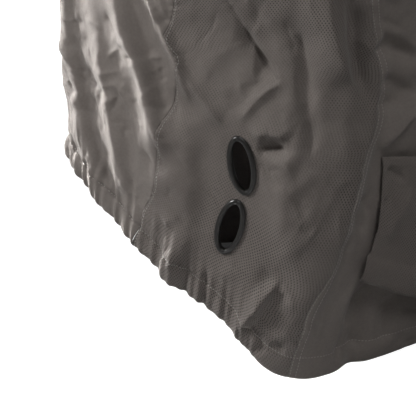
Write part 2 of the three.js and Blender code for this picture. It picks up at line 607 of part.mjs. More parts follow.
function collarHole(seat) {
  const { width, height, holeWidth, holeHeight, clear } = EYELET;
  const halfWidth = lerp(holeWidth, width, COLLAR_SHARE) / 2 + clear;
  const halfHeight = lerp(holeHeight, height, COLLAR_SHARE) / 2 + clear;
  const shape = new THREE.Shape().absellipse(0, 0, halfWidth, halfHeight, 0, 2 * Math.PI);
  const options = { depth: 2 * CUT_REACH, bevelEnabled: false, curveSegments: OVAL_SEGMENTS };
  const prism = new THREE.ExtrudeGeometry(shape, options).translate(0, 0, -CUT_REACH);
  return asManifold(seated(prism, seat));
}

function withCollarHoles(sheet) {
  const pierce = (cloth, seat) => cloth.subtract(collarHole(seat));
  return asGeometry(EYELET_SEATS.reduce(pierce, asManifold(sheet)));
}

const group = new THREE.Group();
group.name = "motorcycle_cover";

function addNode(name, geometry, look) {
  geometry.computeVertexNormals();
  const mesh = new THREE.Mesh(geometry, new THREE.MeshStandardMaterial(look));
  mesh.name = name;
  group.add(mesh);
}

PANELS.forEach((panel) => {
  const sheet = gridSolid(drawnIn(panelGrid(panel)));
  const pierced = panel.node === "gusset_left";
  addNode(panel.node, pierced ? withCollarHoles(sheet) : sheet, panel.fabric);
});
addNode("crown_panel", crownSolid(), FABRIC);
addNode("flap", gridSolid(flapGrid()), DIAMOND_FABRIC);
EYELET_SEATS.forEach((seat) => addNode(seat.node, eyelet(seat), MOULDED));

export default group;
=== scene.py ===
"""Looks of a draped motorcycle cover: cloth panels, flap, eyelets, stitching and a plain stage."""
import math
from collections import namedtuple

import bmesh
import bpy
import numpy as np
from bpy.props import FloatProperty, FloatVectorProperty, PointerProperty
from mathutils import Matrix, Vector


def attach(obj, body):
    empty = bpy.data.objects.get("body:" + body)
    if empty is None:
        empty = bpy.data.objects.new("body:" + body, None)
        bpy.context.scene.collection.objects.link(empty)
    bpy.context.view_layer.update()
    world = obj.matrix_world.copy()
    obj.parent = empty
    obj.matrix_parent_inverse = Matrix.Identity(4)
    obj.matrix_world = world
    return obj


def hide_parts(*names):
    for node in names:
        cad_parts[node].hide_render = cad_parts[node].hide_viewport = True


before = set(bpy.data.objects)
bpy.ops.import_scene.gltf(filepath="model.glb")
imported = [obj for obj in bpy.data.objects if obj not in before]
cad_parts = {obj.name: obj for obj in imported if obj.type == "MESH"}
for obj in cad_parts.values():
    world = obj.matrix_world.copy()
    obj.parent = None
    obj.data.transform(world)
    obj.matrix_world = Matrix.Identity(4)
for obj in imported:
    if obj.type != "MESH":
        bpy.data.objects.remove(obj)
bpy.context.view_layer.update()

bl_info = {
    "name": "Motorcycle Cover",
    "version": (1, 0, 0),
    "blender": (4, 5, 0),
    "location": "View3D > Sidebar > Cover",
    "description": "Builds the cloth, eyelets, stitching and stage of a draped motorcycle cover",
    "category": "Object",
}

# Tables and surface functions work in millimetres, as the solids do. Meshes are in metres.
MM = 0.001
WEAVE_MAP = "weave"

# Steps of station and drop for measuring the smooth cover: for its normals, its scale and its hem
NORMAL_STEP = 1e-3
SCALE_STEP = 0.02
HEM_STEP = 0.05

# Stations run 0 at the nose, down the left side to 10 at the tail, and back on the right to 20.
# Each section gives five points down the cloth. right_rise lifts the right hem, right_tuck draws it in.
Section = namedtuple("Section", "ridge shoulder hip skirt hem right_rise right_tuck")
SECTIONS = (
    Section((-630, 0, 1130), (-945, 0, 900), (-1064, 0, 650), (-1049, 0, 400), (-1056, 0, 208), 0, 0),
    Section((-620, 0, 1136), (-910, -95, 905), (-1040, -114, 655), (-1014, -118, 400), (-1024, -95, 132),
            78, 52),
    Section((-600, 0, 1146), (-865, -173, 918), (-992, -189, 665), (-963, -189, 405), (-976, -147, 80),
            84, 36),
    Section((-570, 0, 1160), (-797, -244, 938), (-910, -254, 679), (-883, -249, 416), (-908, -194, 11),
            66, 16),
    Section((-520, 0, 1176), (-650, -310, 965), (-713, -280, 672), (-705, -263, 403), (-705, -198, 19),
            -18, 0),
    Section((-430, 0, 1172), (-430, -405, 1010), (-390, -345, 700), (-370, -312, 400), (-380, -285, 70),
            0, 0),
    Section((-70, 0, 1010), (-30, -245, 890), (10, -300, 660), (30, -318, 380), (30, -312, 78), 0, 0),
    Section((370, 0, 915), (410, -190, 820), (450, -255, 620), (470, -288, 360), (475, -290, 52), 6, 0),
    Section((650, 0, 890), (750, -160, 800), (830, -205, 600), (855, -218, 360), (855, -200, 8), 10, 0),
    Section((790, 0, 862), (920, -95, 765), (1015, -125, 585), (1038, -132, 370), (1015, -102, 118), 8, 0),
    Section((840, 0, 850), (980, 0, 752), (1064, 0, 580), (1080, 0, 380), (1052, 0, 196), 0, 0),
)
STATIONS = 2 * (len(SECTIONS) - 1)
TAIL = STATIONS // 2

# The legs between a section's five points, the drop of the crown's seam, the width of shoulder from which
# the cloth rounds over the ridge, and the skirt's share of the right hem's rise
LEGS = 4
CROWN_DROP = 0.1
ACROSS_RIDGE = 120
RIGHT_SKIRT_RISE = 0.43

# Seams: pairs of drop and station, drop 0 being the ridge and drop 1 the hem
FRONT_SEAM = (
    (0.0, 1.0), (0.6, 1.02), (0.74, 1.07), (0.775, 1.0), (0.8, 1.15), (0.835, 1.12),
    (0.862, 1.05), (0.915, 1.04), (0.965, 0.89), (1.0, 0.82),
)
SECOND_SEAM = (
    (0.0, 3.0), (0.6, 3.08), (0.74, 3.13), (0.82, 3.3), (0.86, 3.2),
    (0.91, 3.16), (0.955, 2.98), (1.0, 2.94),
)
REAR_SEAM = ((0.0, 8.7), (1.0, 8.7))
RIGHT_REAR_SEAM = ((0.0, 11.3), (1.0, 11.3))
RIGHT_SECOND_SEAM = ((0.0, 17.0), (1.0, 17.0))
RIGHT_FRONT_SEAM = ((0.0, 19.0), (1.0, 19.0))

# Folds: a path of (station, drop) points, the rise, and a width on the near and far side of the path
Fold = namedtuple("Fold", "path rise near far")
FOLDS = (
    # Broad swells round the front corner
    Fold(((0.3, 0.9), (1.2, 0.905), (2.2, 0.915), (3.1, 0.925)), 9, 36, 62),
    Fold(((0.6, 0.765), (1.5, 0.77), (2.4, 0.775), (3.2, 0.78)), -8, 46, 44),
    # Front panel
    Fold(((0.38, 0.7), (0.6, 0.775), (0.78, 0.812), (0.95, 0.853), (1.12, 0.89)), 5, 16, 9),
    Fold(((0.46, 0.69), (0.68, 0.765), (0.86, 0.806), (1.02, 0.845), (1.14, 0.875)), -10, 7, 28),
    Fold(((0.6, 0.7), (0.82, 0.74), (1.0, 0.777), (1.15, 0.802), (1.27, 0.825)), 3, 14, 5),
    Fold(((0.18, 0.7), (0.27, 0.765), (0.4, 0.831), (0.55, 0.896), (0.76, 0.958)), 3, 12, 11),
    Fold(((0.0, 0.79), (0.09, 0.839), (0.22, 0.898), (0.37, 0.934), (0.52, 0.957), (0.7, 0.985)),
         -5, 6, 10),
    Fold(((0.64, 0.848), (0.7, 0.885), (0.78, 0.92), (0.86, 0.961)), -4, 10, 14),
    Fold(((-0.14, 0.58), (-0.14, 0.74), (-0.06, 0.826), (0.22, 0.921), (0.36, 0.958), (0.54, 0.99)),
         5, 18, 7),
    Fold(((19.55, 0.6), (19.6, 0.76), (19.7, 0.96)), 9, 20, 20),
    Fold(((19.25, 0.68), (19.2, 0.85), (19.25, 1.05)), -8, 18, 18),
    Fold(((0.5, 0.42), (0.42, 0.55), (0.36, 0.72)), 10, 24, 20),
    Fold(((19.6, 0.36), (19.7, 0.5), (19.75, 0.66)), 9, 24, 24),
    # Left corner panel
    Fold(((3.28, 0.78), (3.22, 0.835), (3.17, 0.885), (3.09, 0.925), (2.99, 0.96), (2.95, 1)), 11, 32, 12),
    Fold(((2.23, 0.895), (2.34, 0.908), (2.54, 0.935), (2.72, 0.957)), -7, 12, 20),
    Fold(((2.74, 0.931), (2.52, 0.962), (2.32, 0.996)), 7, 7, 4),
    Fold(((2.84, 0.937), (2.61, 0.964), (2.44, 0.994)), -4, 3, 5),
    Fold(((1.18, 0.803), (1.51, 0.826), (1.9, 0.853)), 2.5, 10, 6),
    Fold(((1.9, 0.763), (2.1, 0.787), (2.32, 0.804)), -6, 12, 5),
    Fold(((2.39, 0.798), (2.11, 0.825), (1.93, 0.844)), 3, 7, 9),
    Fold(((2.4, 0.75), (2.59, 0.787), (2.72, 0.828), (2.83, 0.856)), -6, 8, 9),
    Fold(((2.74, 0.716), (2.82, 0.761), (2.92, 0.786), (3.05, 0.808)), 9, 20, 7),
    Fold(((2.95, 0.718), (3.01, 0.773), (3.1, 0.802), (3.24, 0.828)), -9, 10, 12),
    Fold(((2.1, 0.858), (2.36, 0.854), (2.65, 0.85)), -6, 6, 11),
    Fold(((2.21, 0.816), (2.64, 0.858), (2.78, 0.894), (2.63, 0.942)), 4, 30, 40),
    Fold(((1.62, 0.86), (1.72, 0.9), (1.7, 0.95)), -7, 16, 16),
    Fold(((1.28, 1.04), (1.36, 0.98), (1.42, 0.94)), 8, 11, 11),
    Fold(((1.5, 0.4), (1.62, 0.56), (1.7, 0.74)), 12, 24, 22),
    Fold(((2.4, 0.4), (2.4, 0.56), (2.3, 0.74)), -11, 24, 24),
    # Left side panel
    Fold(((3.49, 0.926), (3.47, 0.947), (3.45, 0.972), (3.44, 1), (3.42, 1.05)), -9, 16, 14),
    Fold(((3.23, 0.776), (3.38, 0.783), (3.56, 0.795)), -6, 8, 8),
    Fold(((3.27, 0.804), (3.42, 0.811), (3.59, 0.82)), -7, 9, 9),
    Fold(((3.61, 0.816), (3.48, 0.832), (3.34, 0.852)), 7, 11, 8),
    Fold(((5.0, 0.26), (4.6, 0.42), (4.3, 0.62)), 20, 34, 30),
    Fold(((5.0, 0.28), (4.9, 0.5), (4.75, 0.78)), 22, 34, 34),
    Fold(((4.8, 0.36), (4.6, 0.56), (4.45, 0.8)), -16, 30, 30),
    Fold(((5.05, 0.28), (5.3, 0.5), (5.4, 0.84)), 20, 38, 34),
    Fold(((5.15, 0.4), (5.2, 0.62), (5.15, 0.96)), -14, 34, 34),
    Fold(((5.1, 0.26), (5.6, 0.4), (6.0, 0.6)), 16, 40, 36),
    Fold(((6.3, 0.2), (6.2, 0.46), (6.1, 0.9)), 16, 44, 40),
    Fold(((6.6, 0.24), (6.6, 0.54), (6.5, 1.06)), -15, 44, 44),
    Fold(((7.0, 0.2), (7.0, 0.5), (6.9, 0.86)), 15, 42, 38),
    Fold(((7.5, 0.22), (7.5, 0.55), (7.6, 1.06)), -13, 42, 44),
    Fold(((8.0, 0.26), (8.1, 0.55), (8.1, 0.9)), 13, 36, 34),
    Fold(((4.1, 0.8), (4.2, 0.92), (4.2, 1.06)), 10, 24, 24),
    Fold(((5.75, 0.76), (5.8, 0.9), (5.85, 1.06)), 13, 34, 30),
    Fold(((7.2, 0.78), (7.2, 0.9), (7.15, 1.06)), 12, 34, 34),
    # Rear panel
    Fold(((9.3, 0.3), (9.25, 0.6), (9.3, 0.95)), 11, 26, 24),
    Fold(((10.0, 0.3), (10.1, 0.62), (10.0, 1.04)), -9, 26, 26),
    Fold(((10.7, 0.26), (10.6, 0.6), (10.7, 0.9)), 11, 26, 26),
    # Right side panels
    Fold(((11.8, 0.26), (11.8, 0.6), (11.9, 1.04)), -12, 38, 38),
    Fold(((12.3, 0.2), (12.4, 0.5), (12.3, 0.9)), 15, 42, 42),
    Fold(((13.0, 0.22), (12.9, 0.55), (13.1, 1.06)), -15, 46, 44),
    Fold(((13.6, 0.2), (13.5, 0.56), (13.6, 0.96)), 15, 46, 44),
    Fold(((15.0, 0.26), (14.4, 0.42), (14.0, 0.66)), 17, 40, 40),
    Fold(((15.0, 0.28), (14.8, 0.55), (14.75, 0.9)), 20, 38, 36),
    Fold(((15.0, 0.28), (15.25, 0.5), (15.3, 0.85)), 20, 36, 36),
    Fold(((15.05, 0.4), (15.05, 0.64), (15.1, 1.04)), -15, 34, 34),
    Fold(((15.1, 0.26), (15.6, 0.42), (15.9, 0.66)), 17, 34, 34),
    Fold(((16.6, 0.4), (16.5, 0.65), (16.6, 1.04)), -11, 28, 28),
    Fold(((17.3, 0.36), (17.2, 0.62), (17.3, 0.94)), 12, 26, 26),
    Fold(((18.2, 0.4), (18.3, 0.66), (18.2, 1.04)), -10, 24, 24),
)

# A fold is followed in steps, fades over a share of its path at each end and stops at so many widths.
# The crest of a crease is rounded over a share of its width.
FOLD_STEPS = 10
FOLD_FADE = 0.3
FOLD_CUTOFF = 2.6
CREST = 0.25

# Creases: sharper lines laid over the folds where the photograph shows them
CREASES = (
    # Front panel
    Fold(((-0.14, 0.58), (-0.14, 0.74), (-0.06, 0.826), (0.1, 0.876), (0.22, 0.921), (0.36, 0.958)),
         2, 10, 5),
    Fold(((0.42, 0.7), (0.6, 0.772), (0.81, 0.812), (0.97, 0.848), (1.08, 0.875), (1.14, 0.895)),
         11, 15, 10),
    Fold(((0.7, 0.71), (0.85, 0.75), (1.01, 0.777), (1.17, 0.8), (1.28, 0.82), (1.37, 0.84)), 9, 12, 4),
    Fold(((0.88, 0.72), (0.93, 0.74), (1, 0.764)), 4, 7, 3),
    Fold(((0.32, 0.775), (0.37, 0.8), (0.43, 0.831), (0.56, 0.896), (0.66, 0.929), (0.76, 0.957)),
         6, 11, 9),
    Fold(((0.21, 0.791), (0.3, 0.857), (0.25, 0.916)), -2, 5, 5),
    Fold(((0.37, 0.836), (0.62, 0.821)), 1.5, 3, 3),
    Fold(((0.39, 0.852), (0.61, 0.835)), 1.5, 3, 3),
    Fold(((0.43, 0.871), (0.59, 0.85)), 1.6, 3, 3),
    Fold(((0.45, 0.813), (0.57, 0.796)), 1.5, 3, 3),
    Fold(((0.58, 0.84), (0.54, 0.874)), -2, 3, 4),
    Fold(((0.28, 0.964), (0.45, 0.972)), 3, 4, 4),
    Fold(((0.73, 0.948), (0.97, 0.915)), 1.5, 4, 4),
    # Corner panel, upper
    Fold(((2.01, 0.77), (2.03, 0.778), (2.05, 0.788), (2.06, 0.798), (2.09, 0.807), (2.11, 0.811)),
         3.5, 9, 3.5),
    Fold(((1.99, 0.772), (2.01, 0.777), (2.11, 0.787), (2.22, 0.797), (2.32, 0.804), (2.35, 0.806),
          (2.36, 0.807)), -7, 12, 2.5),
    Fold(((1.72, 0.734), (1.78, 0.745), (1.85, 0.755), (1.92, 0.765), (1.99, 0.774), (2.07, 0.782)),
         -3, 4, 2.5),
    Fold(((2.39, 0.799), (2.35, 0.803), (2.25, 0.812), (2.13, 0.822), (2.04, 0.832), (1.97, 0.84)),
         3, 3, 4),
    Fold(((2.2, 0.812), (2.1, 0.82), (2.01, 0.828)), 1.5, 2.5, 2.5),
    Fold(((1.08, 0.794), (1.19, 0.803), (1.39, 0.818), (1.61, 0.833), (1.75, 0.842), (1.89, 0.851)),
         2.6, 6, 1.8),
    Fold(((2.53, 0.769), (2.59, 0.781), (2.66, 0.796), (2.73, 0.811), (2.78, 0.827)), -3, 7, 2),
    Fold(((2.35, 0.758), (2.41, 0.77), (2.47, 0.779), (2.51, 0.79)), -2.4, 5, 2),
    Fold(((2.72, 0.829), (2.79, 0.842), (2.81, 0.856)), -2.2, 4, 2),
    Fold(((2.53, 0.796), (2.58, 0.81), (2.64, 0.822)), -1.6, 3, 2),
    Fold(((2.49, 0.854), (2.61, 0.862), (2.7, 0.873), (2.76, 0.885)), 4, 9, 8),
    Fold(((2.21, 0.864), (2.39, 0.871), (2.56, 0.878)), -2.2, 2, 2),
    Fold(((2.38, 0.87), (2.54, 0.864)), -2, 2, 2),
    Fold(((2.92, 0.742), (2.97, 0.773), (3.02, 0.801), (3.25, 0.827)), 5, 11, 2.5),
    Fold(((3.03, 0.743), (3.09, 0.788), (3.21, 0.82)), -5, 5, 9),
    Fold(((2.13, 0.849), (2.27, 0.844), (2.45, 0.842), (2.6, 0.842)), 6, 7, 12),
    Fold(((2.2, 0.856), (2.32, 0.857), (2.46, 0.855), (2.56, 0.85)), -8, 3, 11),
    Fold(((2.61, 0.851), (2.73, 0.877), (2.84, 0.898)), -3, 8, 8),
    Fold(((3.08, 0.867), (3.17, 0.88)), -3, 4, 4),
    Fold(((2.8, 0.897), (2.91, 0.9)), -2.5, 4, 4),
    Fold(((3.03, 0.826), (3.19, 0.844)), -1.5, 3, 3),
    Fold(((3.09, 0.843), (3.18, 0.848)), -1.5, 3, 3),
    # Corner panel, lower
    Fold(((2.63, 0.953), (2.47, 0.969), (2.34, 0.99)), 6, 6, 2.5),
    Fold(((2.76, 0.943), (2.51, 0.968)), -3.5, 2.5, 2.5),
    Fold(((2.56, 0.977), (2.67, 0.993)), -5, 5, 5),
    Fold(((2.7, 0.957), (2.8, 0.96)), -3, 4, 4),
    Fold(((2.71, 0.981), (2.88, 0.981)), -4, 4, 4),
    Fold(((2.93, 0.966), (2.97, 0.974)), -2.5, 3, 3),
    Fold(((1.24, 0.973), (1.42, 0.978)), 5, 7, 7),
    Fold(((1.17, 0.952), (1.37, 0.934)), 3, 7, 7),
    Fold(((2.23, 0.944), (1.96, 0.972)), 2.5, 12, 12),
    # Side panel
    Fold(((3.23, 0.754), (3.34, 0.75)), -1.5, 3, 3),
    Fold(((3.2, 0.764), (3.31, 0.766), (3.45, 0.772)), -3, 3, 6),
    Fold(((3.19, 0.784), (3.27, 0.786), (3.39, 0.79), (3.62, 0.797)), -8, 5, 13),
    Fold(((3.25, 0.821), (3.33, 0.823), (3.44, 0.823), (3.64, 0.818)), -9, 5, 14),
    Fold(((3.59, 0.819), (3.52, 0.828), (3.44, 0.838), (3.36, 0.846), (3.33, 0.851)), 6, 9, 4),
    Fold(((3.26, 0.88), (3.32, 0.887), (3.36, 0.895)), -4, 4, 5),
    Fold(((3.21, 0.885), (3.28, 0.9), (3.37, 0.905)), -2.5, 3, 4),
    Fold(((3.17, 0.905), (3.21, 0.914), (3.26, 0.92)), -3, 5, 4),
    Fold(((3.42, 0.94), (3.39, 0.951), (3.37, 0.968), (3.33, 0.984), (3.31, 0.994)), -9, 6, 12),
    Fold(((3.59, 0.951), (3.62, 0.992)), -5, 8, 8),
)

# Creases of the flap, on the same stations and drops
FLAP_CREASES = (
    Fold(((3.59, 0.876), (3.53, 0.888), (3.48, 0.9), (3.42, 0.912)), 8, 10, 14),
    Fold(((3.4, 0.864), (3.47, 0.868), (3.55, 0.873)), -6, 3, 7),
    Fold(((3.42, 0.884), (3.46, 0.885)), -2.5, 3, 3),
    Fold(((3.44, 0.86), (3.49, 0.889), (3.54, 0.918)), -0.9, 1.2, 1.2),
    Fold(((3.7, 0.87), (3.66, 0.89), (3.6, 0.915)), -3, 10, 6),
    Fold(((3.9, 0.868), (3.86, 0.9), (3.8, 0.93)), 4, 14, 8),
    Fold(((3.62, 0.93), (3.66, 0.945)), 2, 5, 3),
)

# Crinkles: short sharp lines scattered over an area, headings in degrees down from the way of the stations
Crinkles = namedtuple("Crinkles", "stations drops count lengths rises widths heading stray")
CRINKLES = (
    Crinkles((-0.3, 1.0), (0.74, 0.98), 70, (16, 55), (0.8, 2.2), (2.5, 5), 62, 26),
    Crinkles((-0.2, 1.0), (0.78, 0.96), 40, (12, 34), (0.7, 1.6), (2.2, 4), -15, 22),
    Crinkles((1.05, 3.1), (0.74, 0.97), 50, (16, 60), (0.5, 1.4), (2.2, 5), 60, 40),
    Crinkles((3.1, 4.3), (0.72, 1.0), 70, (16, 60), (0.8, 2.4), (2.5, 7), 35, 45),
    Crinkles((2.3, 4.3), (0.94, 1.0), 40, (12, 34), (0.8, 2.2), (2.5, 6), 70, 40),
    Crinkles((-0.8, 3.4), (0.14, 0.74), 70, (50, 180), (1.5, 4.0), (8, 15), 75, 30),
    Crinkles((4.3, 8.7), (0.12, 1.0), 110, (80, 320), (2.0, 5.5), (13, 22), 80, 28),
    Crinkles((8.7, 11.3), (0.14, 1.0), 40, (60, 200), (1.5, 4.5), (9, 16), 80, 28),
    Crinkles((11.3, 17.0), (0.12, 1.0), 120, (80, 320), (2.0, 5.5), (13, 22), 80, 28),
    Crinkles((17.0, 19.6), (0.14, 1.0), 70, (40, 150), (1.2, 3.5), (7, 13), 75, 30),
    Crinkles((1.0, 9.0), (0.02, 0.11), 30, (60, 220), (1.0, 3.0), (11, 18), 20, 40),
    Crinkles((11.0, 19.0), (0.02, 0.11), 30, (60, 220), (1.0, 3.0), (11, 18), 20, 40),
)

# Crinkles bow by up to a share of their half length, and their far side has a share of the near width.
# The least scale keeps them short where the stations run together.
CRINKLE_SEED = 5
LEAST_SCALE = 60
CRINKLE_BOW = 0.25
CRINKLE_SKEW = (0.5, 1.6)

# The gathered parts of the hem: round the nose to the left corner panel, and at the tail. Stations past
# RIGHT_NOSE are counted back from the nose.
GATHERED = ((-2.0, 2.75), (8.9, 11.1))
RIGHT_NOSE = 15

# Coarse gathers, which the solids have too, with the amount and pace of their uneven height and drift
GATHER_EASE = 0.3
GATHER_RISE = 2.4
GATHERS_PER_STATION = 2.6
GATHER_REACH = 0.05
GATHER_UNEVEN = (0.25, 5.3)
GATHER_DRIFT = (1.2, 3.1)

# The flat pad that the eyelets are pressed in
PAD_CENTRE = np.array((-966.0, -170.0, 213.5))
PAD_FACING = np.array((-0.75, -0.655, -0.06))
PAD_WIDTH = 46
PAD_HEIGHT = 136
PAD_BLEND = 28
Seat = namedtuple("Seat", "node across along lean")
EYELET_SEATS = (Seat("eyelet_upper", 7, 34, -8), Seat("eyelet_lower", -6, -33, 16))

# The flap's edges on the side panel, as stations and drops at its corners and mid-height
FLAP_LEFT = (3.37, 3.4, 3.35)
FLAP_RIGHT = (4.16, 4.18, 4.2)
FLAP_TOP = (0.856, 0.86)
FLAP_BOTTOM = (0.933, 0.98)

# How far it stands off the panel, lifts toward its lower edge and bulges past its left edge, and its grid
FLAP_STAND = 4
FLAP_LIFT = 7
FLAP_BULGE = 8
FLAP_BULGE_REACH = 0.35
FLAP_COLUMNS = 90
FLAP_ROWS = 70

# Its hem band, which is raised and puffed and reaches a part of a station further left, and its sunk lines:
# the sewn top, the hem's line, the lower lip and one down the side. Places and widths are its shares.
FLAP_HEM = 0.8
FLAP_HEM_EASE = 0.02
FLAP_HEM_RISE = 2.0
FLAP_HEM_PUFF = 0.8
FLAP_HEM_SIDE = 0.03
Dip = namedtuple("Dip", "place depth width")
FLAP_DIPS_ACROSS = (Dip(0, 2.4, 0.04), Dip(FLAP_HEM, 1.8, 0.012), Dip(1, 2.2, 0.015))
FLAP_DIPS_DOWN = (Dip(0.62, 0.7, 0.012),)

# Eyelets: their panel, outer and hole sizes, the cut in the cloth, how far round them it is held flat, and
# the ring's section as pairs of a share of the way from hole to rim and a height over the cloth
EYELET_PANEL = "gusset_left"
EYELET_OUTER = (30, 64)
EYELET_HOLE = (18, 52)
EYELET_CUT = (24, 58)
EYELET_STEPS = 48
EYELET_HOLD = 8
EYELET_PROFILE = (
    (0.0, -4.6), (0.0, 1.6), (0.1, 2.7), (0.38, 3.3), (0.7, 3.0), (0.93, 1.9), (1.0, 0.5),
    (0.85, 0.3), (0.85, -1.4), (1.0, -1.6), (0.9, -4.0), (0.3, -4.9),
)

# Stitches: samples along each line, the sides of a stitch's section, where along it the two rings of
# corners sit, and how high it stands, as a share of its radius
SEAM_SAMPLES = 900
HEM_SAMPLES = 4200
SPINDLE_SIDES = 5
SPINDLE_RINGS = (0.2, 0.8)
STITCH_STAND = 0.4

# Bumps against those of the plain weave, the least painted shade of the diamond dots, and the plastic's
# roughness
DIAMOND_RELIEF = 2.5
CRUMPLE_RELIEF = 9.0
LEAST_SHADE = 0.2
PLASTIC_ROUGHNESS = 0.32

# Lights round the camera's target: angles in degrees, lengths in metres, power in watts.
# A light is moved sideways by its shift, and its spread keeps a narrow beam narrow.
Light = namedtuple("Light", "name azimuth elevation distance shift width height spread power")
LIGHTS = (
    Light("key", -104, 32, 4.0, 0.0, 0.8, 0.8, 180, 120),
    Light("front", -8, 50, 4.0, 0.0, 1.0, 1.0, 180, 46),
    Light("rim", -157, 28, 1.5, 0.08, 0.24, 1.2, 24, 5.2),
    Light("back", 150, 35, 5.0, 0.0, 2.0, 2.0, 180, 110),
)
FILL_COLOR = (1.0, 0.985, 0.97, 1.0)
SENSOR = 36.0

# The floor, its level in metres. Under the cover it is darkened by a painted shade between the ends of
# FLOOR_SHADE, out to a share of the hem's reach on the left, and on the right to the hem or past it in
# front of the bend. From there the painted shade fades to bright, over FLOOR_FADE to the left and right and
# up to
# FLOOR_OPEN at the ends. FLOOR_UNDER is how much of its colour the floor keeps in the painted shade.
FLOOR_LEVEL = -0.004
FLOOR_STEPS = 120
FLOOR_SHADE = (-750, 950)
FLOOR_OPEN = (-805, 1080)
FLOOR_SHADE_LEFT = 0.25
FLOOR_SHADE_RIGHT = 0.45
FLOOR_SHADE_BEND = (-520, -720)
FLOOR_FADE = (-70, 170)
FLOOR_MIDDLE = 0.5
FLOOR_COLOR = (0.27, 0.27, 0.27)
FLOOR_UNDER = 0.12


def lerp(a, b, u):
    """The value a share u of the way from a to b."""
    return a + (b - a) * u


def ease(value):
    """A smooth rise from 0 at 0 to 1 at 1, flat outside."""
    held = np.clip(value, 0, 1)
    return held * held * (3 - 2 * held)


def unit(vectors):
    """Vectors brought to length 1."""
    return vectors / np.linalg.norm(vectors, axis=-1, keepdims=True)


def run_along(points):
    """Lengths from the first of a row of points to each of them."""
    legs = np.linalg.norm(np.diff(points, axis=0), axis=-1)
    return np.concatenate((np.zeros((1, *legs.shape[1:])), np.cumsum(legs, axis=0)))


def through(p0, p1, p2, p3, u):
    """A point of a Catmull-Rom curve between p1 and p2."""
    bend = 2 * p0 - 5 * p1 + 4 * p2 - p3
    twist = 3 * p1 - p0 - 3 * p2 + p3
    return 0.5 * (2 * p1 + (p2 - p0) * u + bend * u ** 2 + twist * u ** 3)


def section_points(index):
    """The five points of a section, on the left as in the table or on the right as its uneven mirror."""
    turn = index % STATIONS
    on_right = turn > TAIL
    row = SECTIONS[STATIONS - turn if on_right else turn]
    points = np.array((row.ridge, row.shoulder, row.hip, row.skirt, row.hem), float)
    if on_right:
        tuck = np.where(points[2:, 1] == 0, 0, row.right_tuck)
        points[:, 1] *= -1
        points[2:, 1] -= tuck
        points[3:, 2] += row.right_rise * np.array((RIGHT_SKIRT_RISE, 1.0))
    return points


LOOP = np.array([section_points(index) for index in range(STATIONS)])


def base_points(station, drop):
    """Points of the smooth cover at arrays of station and drop."""
    station, drop = np.broadcast_arrays(np.asarray(station, float), np.asarray(drop, float))
    first = np.floor(station).astype(int)
    u = (station - first)[..., None, None]
    rows = [LOOP[(first + k) % STATIONS] for k in (-1, 0, 1, 2)]
    column = through(*rows, u)
    ridge, shoulder = column[..., 0, :], column[..., 1, :]
    over = np.clip(np.abs(shoulder[..., 1:2]) / ACROSS_RIDGE, 0, 1)
    before = lerp(2 * ridge - shoulder, shoulder * np.array((1, -1, 1)), over)
    after = 2 * column[..., -1, :] - column[..., -2, :]
    points = np.concatenate((before[..., None, :], column, after[..., None, :]), axis=-2)
    leg = np.clip(np.floor(drop * LEGS).astype(int), 0, LEGS - 1)

    def pick(k):
        """The k-th of the four points that bend each leg."""
        place = np.broadcast_to((leg + k)[..., None, None], leg.shape + (1, 3))
        return np.take_along_axis(points, place, axis=-2)[..., 0, :]

    return through(pick(0), pick(1), pick(2), pick(3), (drop * LEGS - leg)[..., None])


def normals_at(station, drop):
    """Outward normals of the smooth cover."""
    above = np.maximum(0, drop - NORMAL_STEP)
    along = base_points(station + NORMAL_STEP, drop) - base_points(station - NORMAL_STEP, drop)
    down = base_points(station, drop + NORMAL_STEP) - base_points(station, above)
    return unit(np.cross(down, along))


def station_scale(station, drop):
    """Millimetres of the smooth cover to one station."""
    along = base_points(station + SCALE_STEP, drop) - base_points(station - SCALE_STEP, drop)
    return np.linalg.norm(along, axis=-1) / (2 * SCALE_STEP)


def drop_scale(station, drop):
    """Millimetres of the smooth cover to one unit of drop."""
    down = base_points(station, drop + SCALE_STEP) - base_points(station, drop - SCALE_STEP)
    return np.linalg.norm(down, axis=-1) / (2 * SCALE_STEP)


def seam_station(table, drop):
    """The station of a seam at each drop, eased between the rows of its table."""
    drops, stations = np.array(table).T
    k = np.clip(np.searchsorted(drops, drop, side="left") - 1, 0, len(table) - 2)
    u = ease((drop - drops[k]) / (drops[k + 1] - drops[k]))
    return lerp(stations[k], stations[k + 1], u)


def fold_line(fold):
    """The points of a fold's path on the smooth cover."""
    place = np.linspace(0, len(fold.path) - 1, FOLD_STEPS + 1)
    knots = np.arange(len(fold.path))
    return base_points(*(np.interp(place, knots, values) for values in zip(*fold.path)))


def with_lines(folds):
    """Each fold with the points of its path."""
    return [(fold, fold_line(fold)) for fold in folds]


def soft_profile(reach):
    """A rounded fold, by distance over width."""
    return np.exp(-reach ** 2)


def sharp_profile(reach):
    """A crease with a tight crest, by distance over width."""
    return np.exp(CREST - np.hypot(reach, CREST))


def sunk(places, dips):
    """How deep sunk lines lie at each place across them."""
    return sum(dip.depth * soft_profile((places - dip.place) / dip.width) for dip in dips)


def fold_rise(fold, line, points, normals, profile):
    """How far one fold lifts each point of the cloth."""
    rise = np.zeros(len(points))
    reach = FOLD_CUTOFF * max(fold.near, fold.far)
    inside = ((points > line.min(0) - reach) & (points < line.max(0) + reach)).all(1)
    if not inside.any():
        return rise
    legs = np.diff(line, axis=0)
    from_start = points[inside][:, None, :] - line[:-1]
    u = np.clip((from_start * legs).sum(-1) / (legs ** 2).sum(-1), 0, 1)
    away = from_start - u[..., None] * legs
    distance = np.linalg.norm(away, axis=-1)
    best = distance.argmin(1)
    rows = np.arange(len(best))
    side = (np.cross(legs[best], normals[inside]) * away[rows, best]).sum(-1)
    width = np.where(side > 0, fold.near, fold.far)
    place = (best + u[rows, best]) / FOLD_STEPS
    fade = ease(place / FOLD_FADE) * ease((1 - place) / FOLD_FADE)
    rise[inside] = fold.rise * fade * profile(distance[rows, best] / width)
    return rise


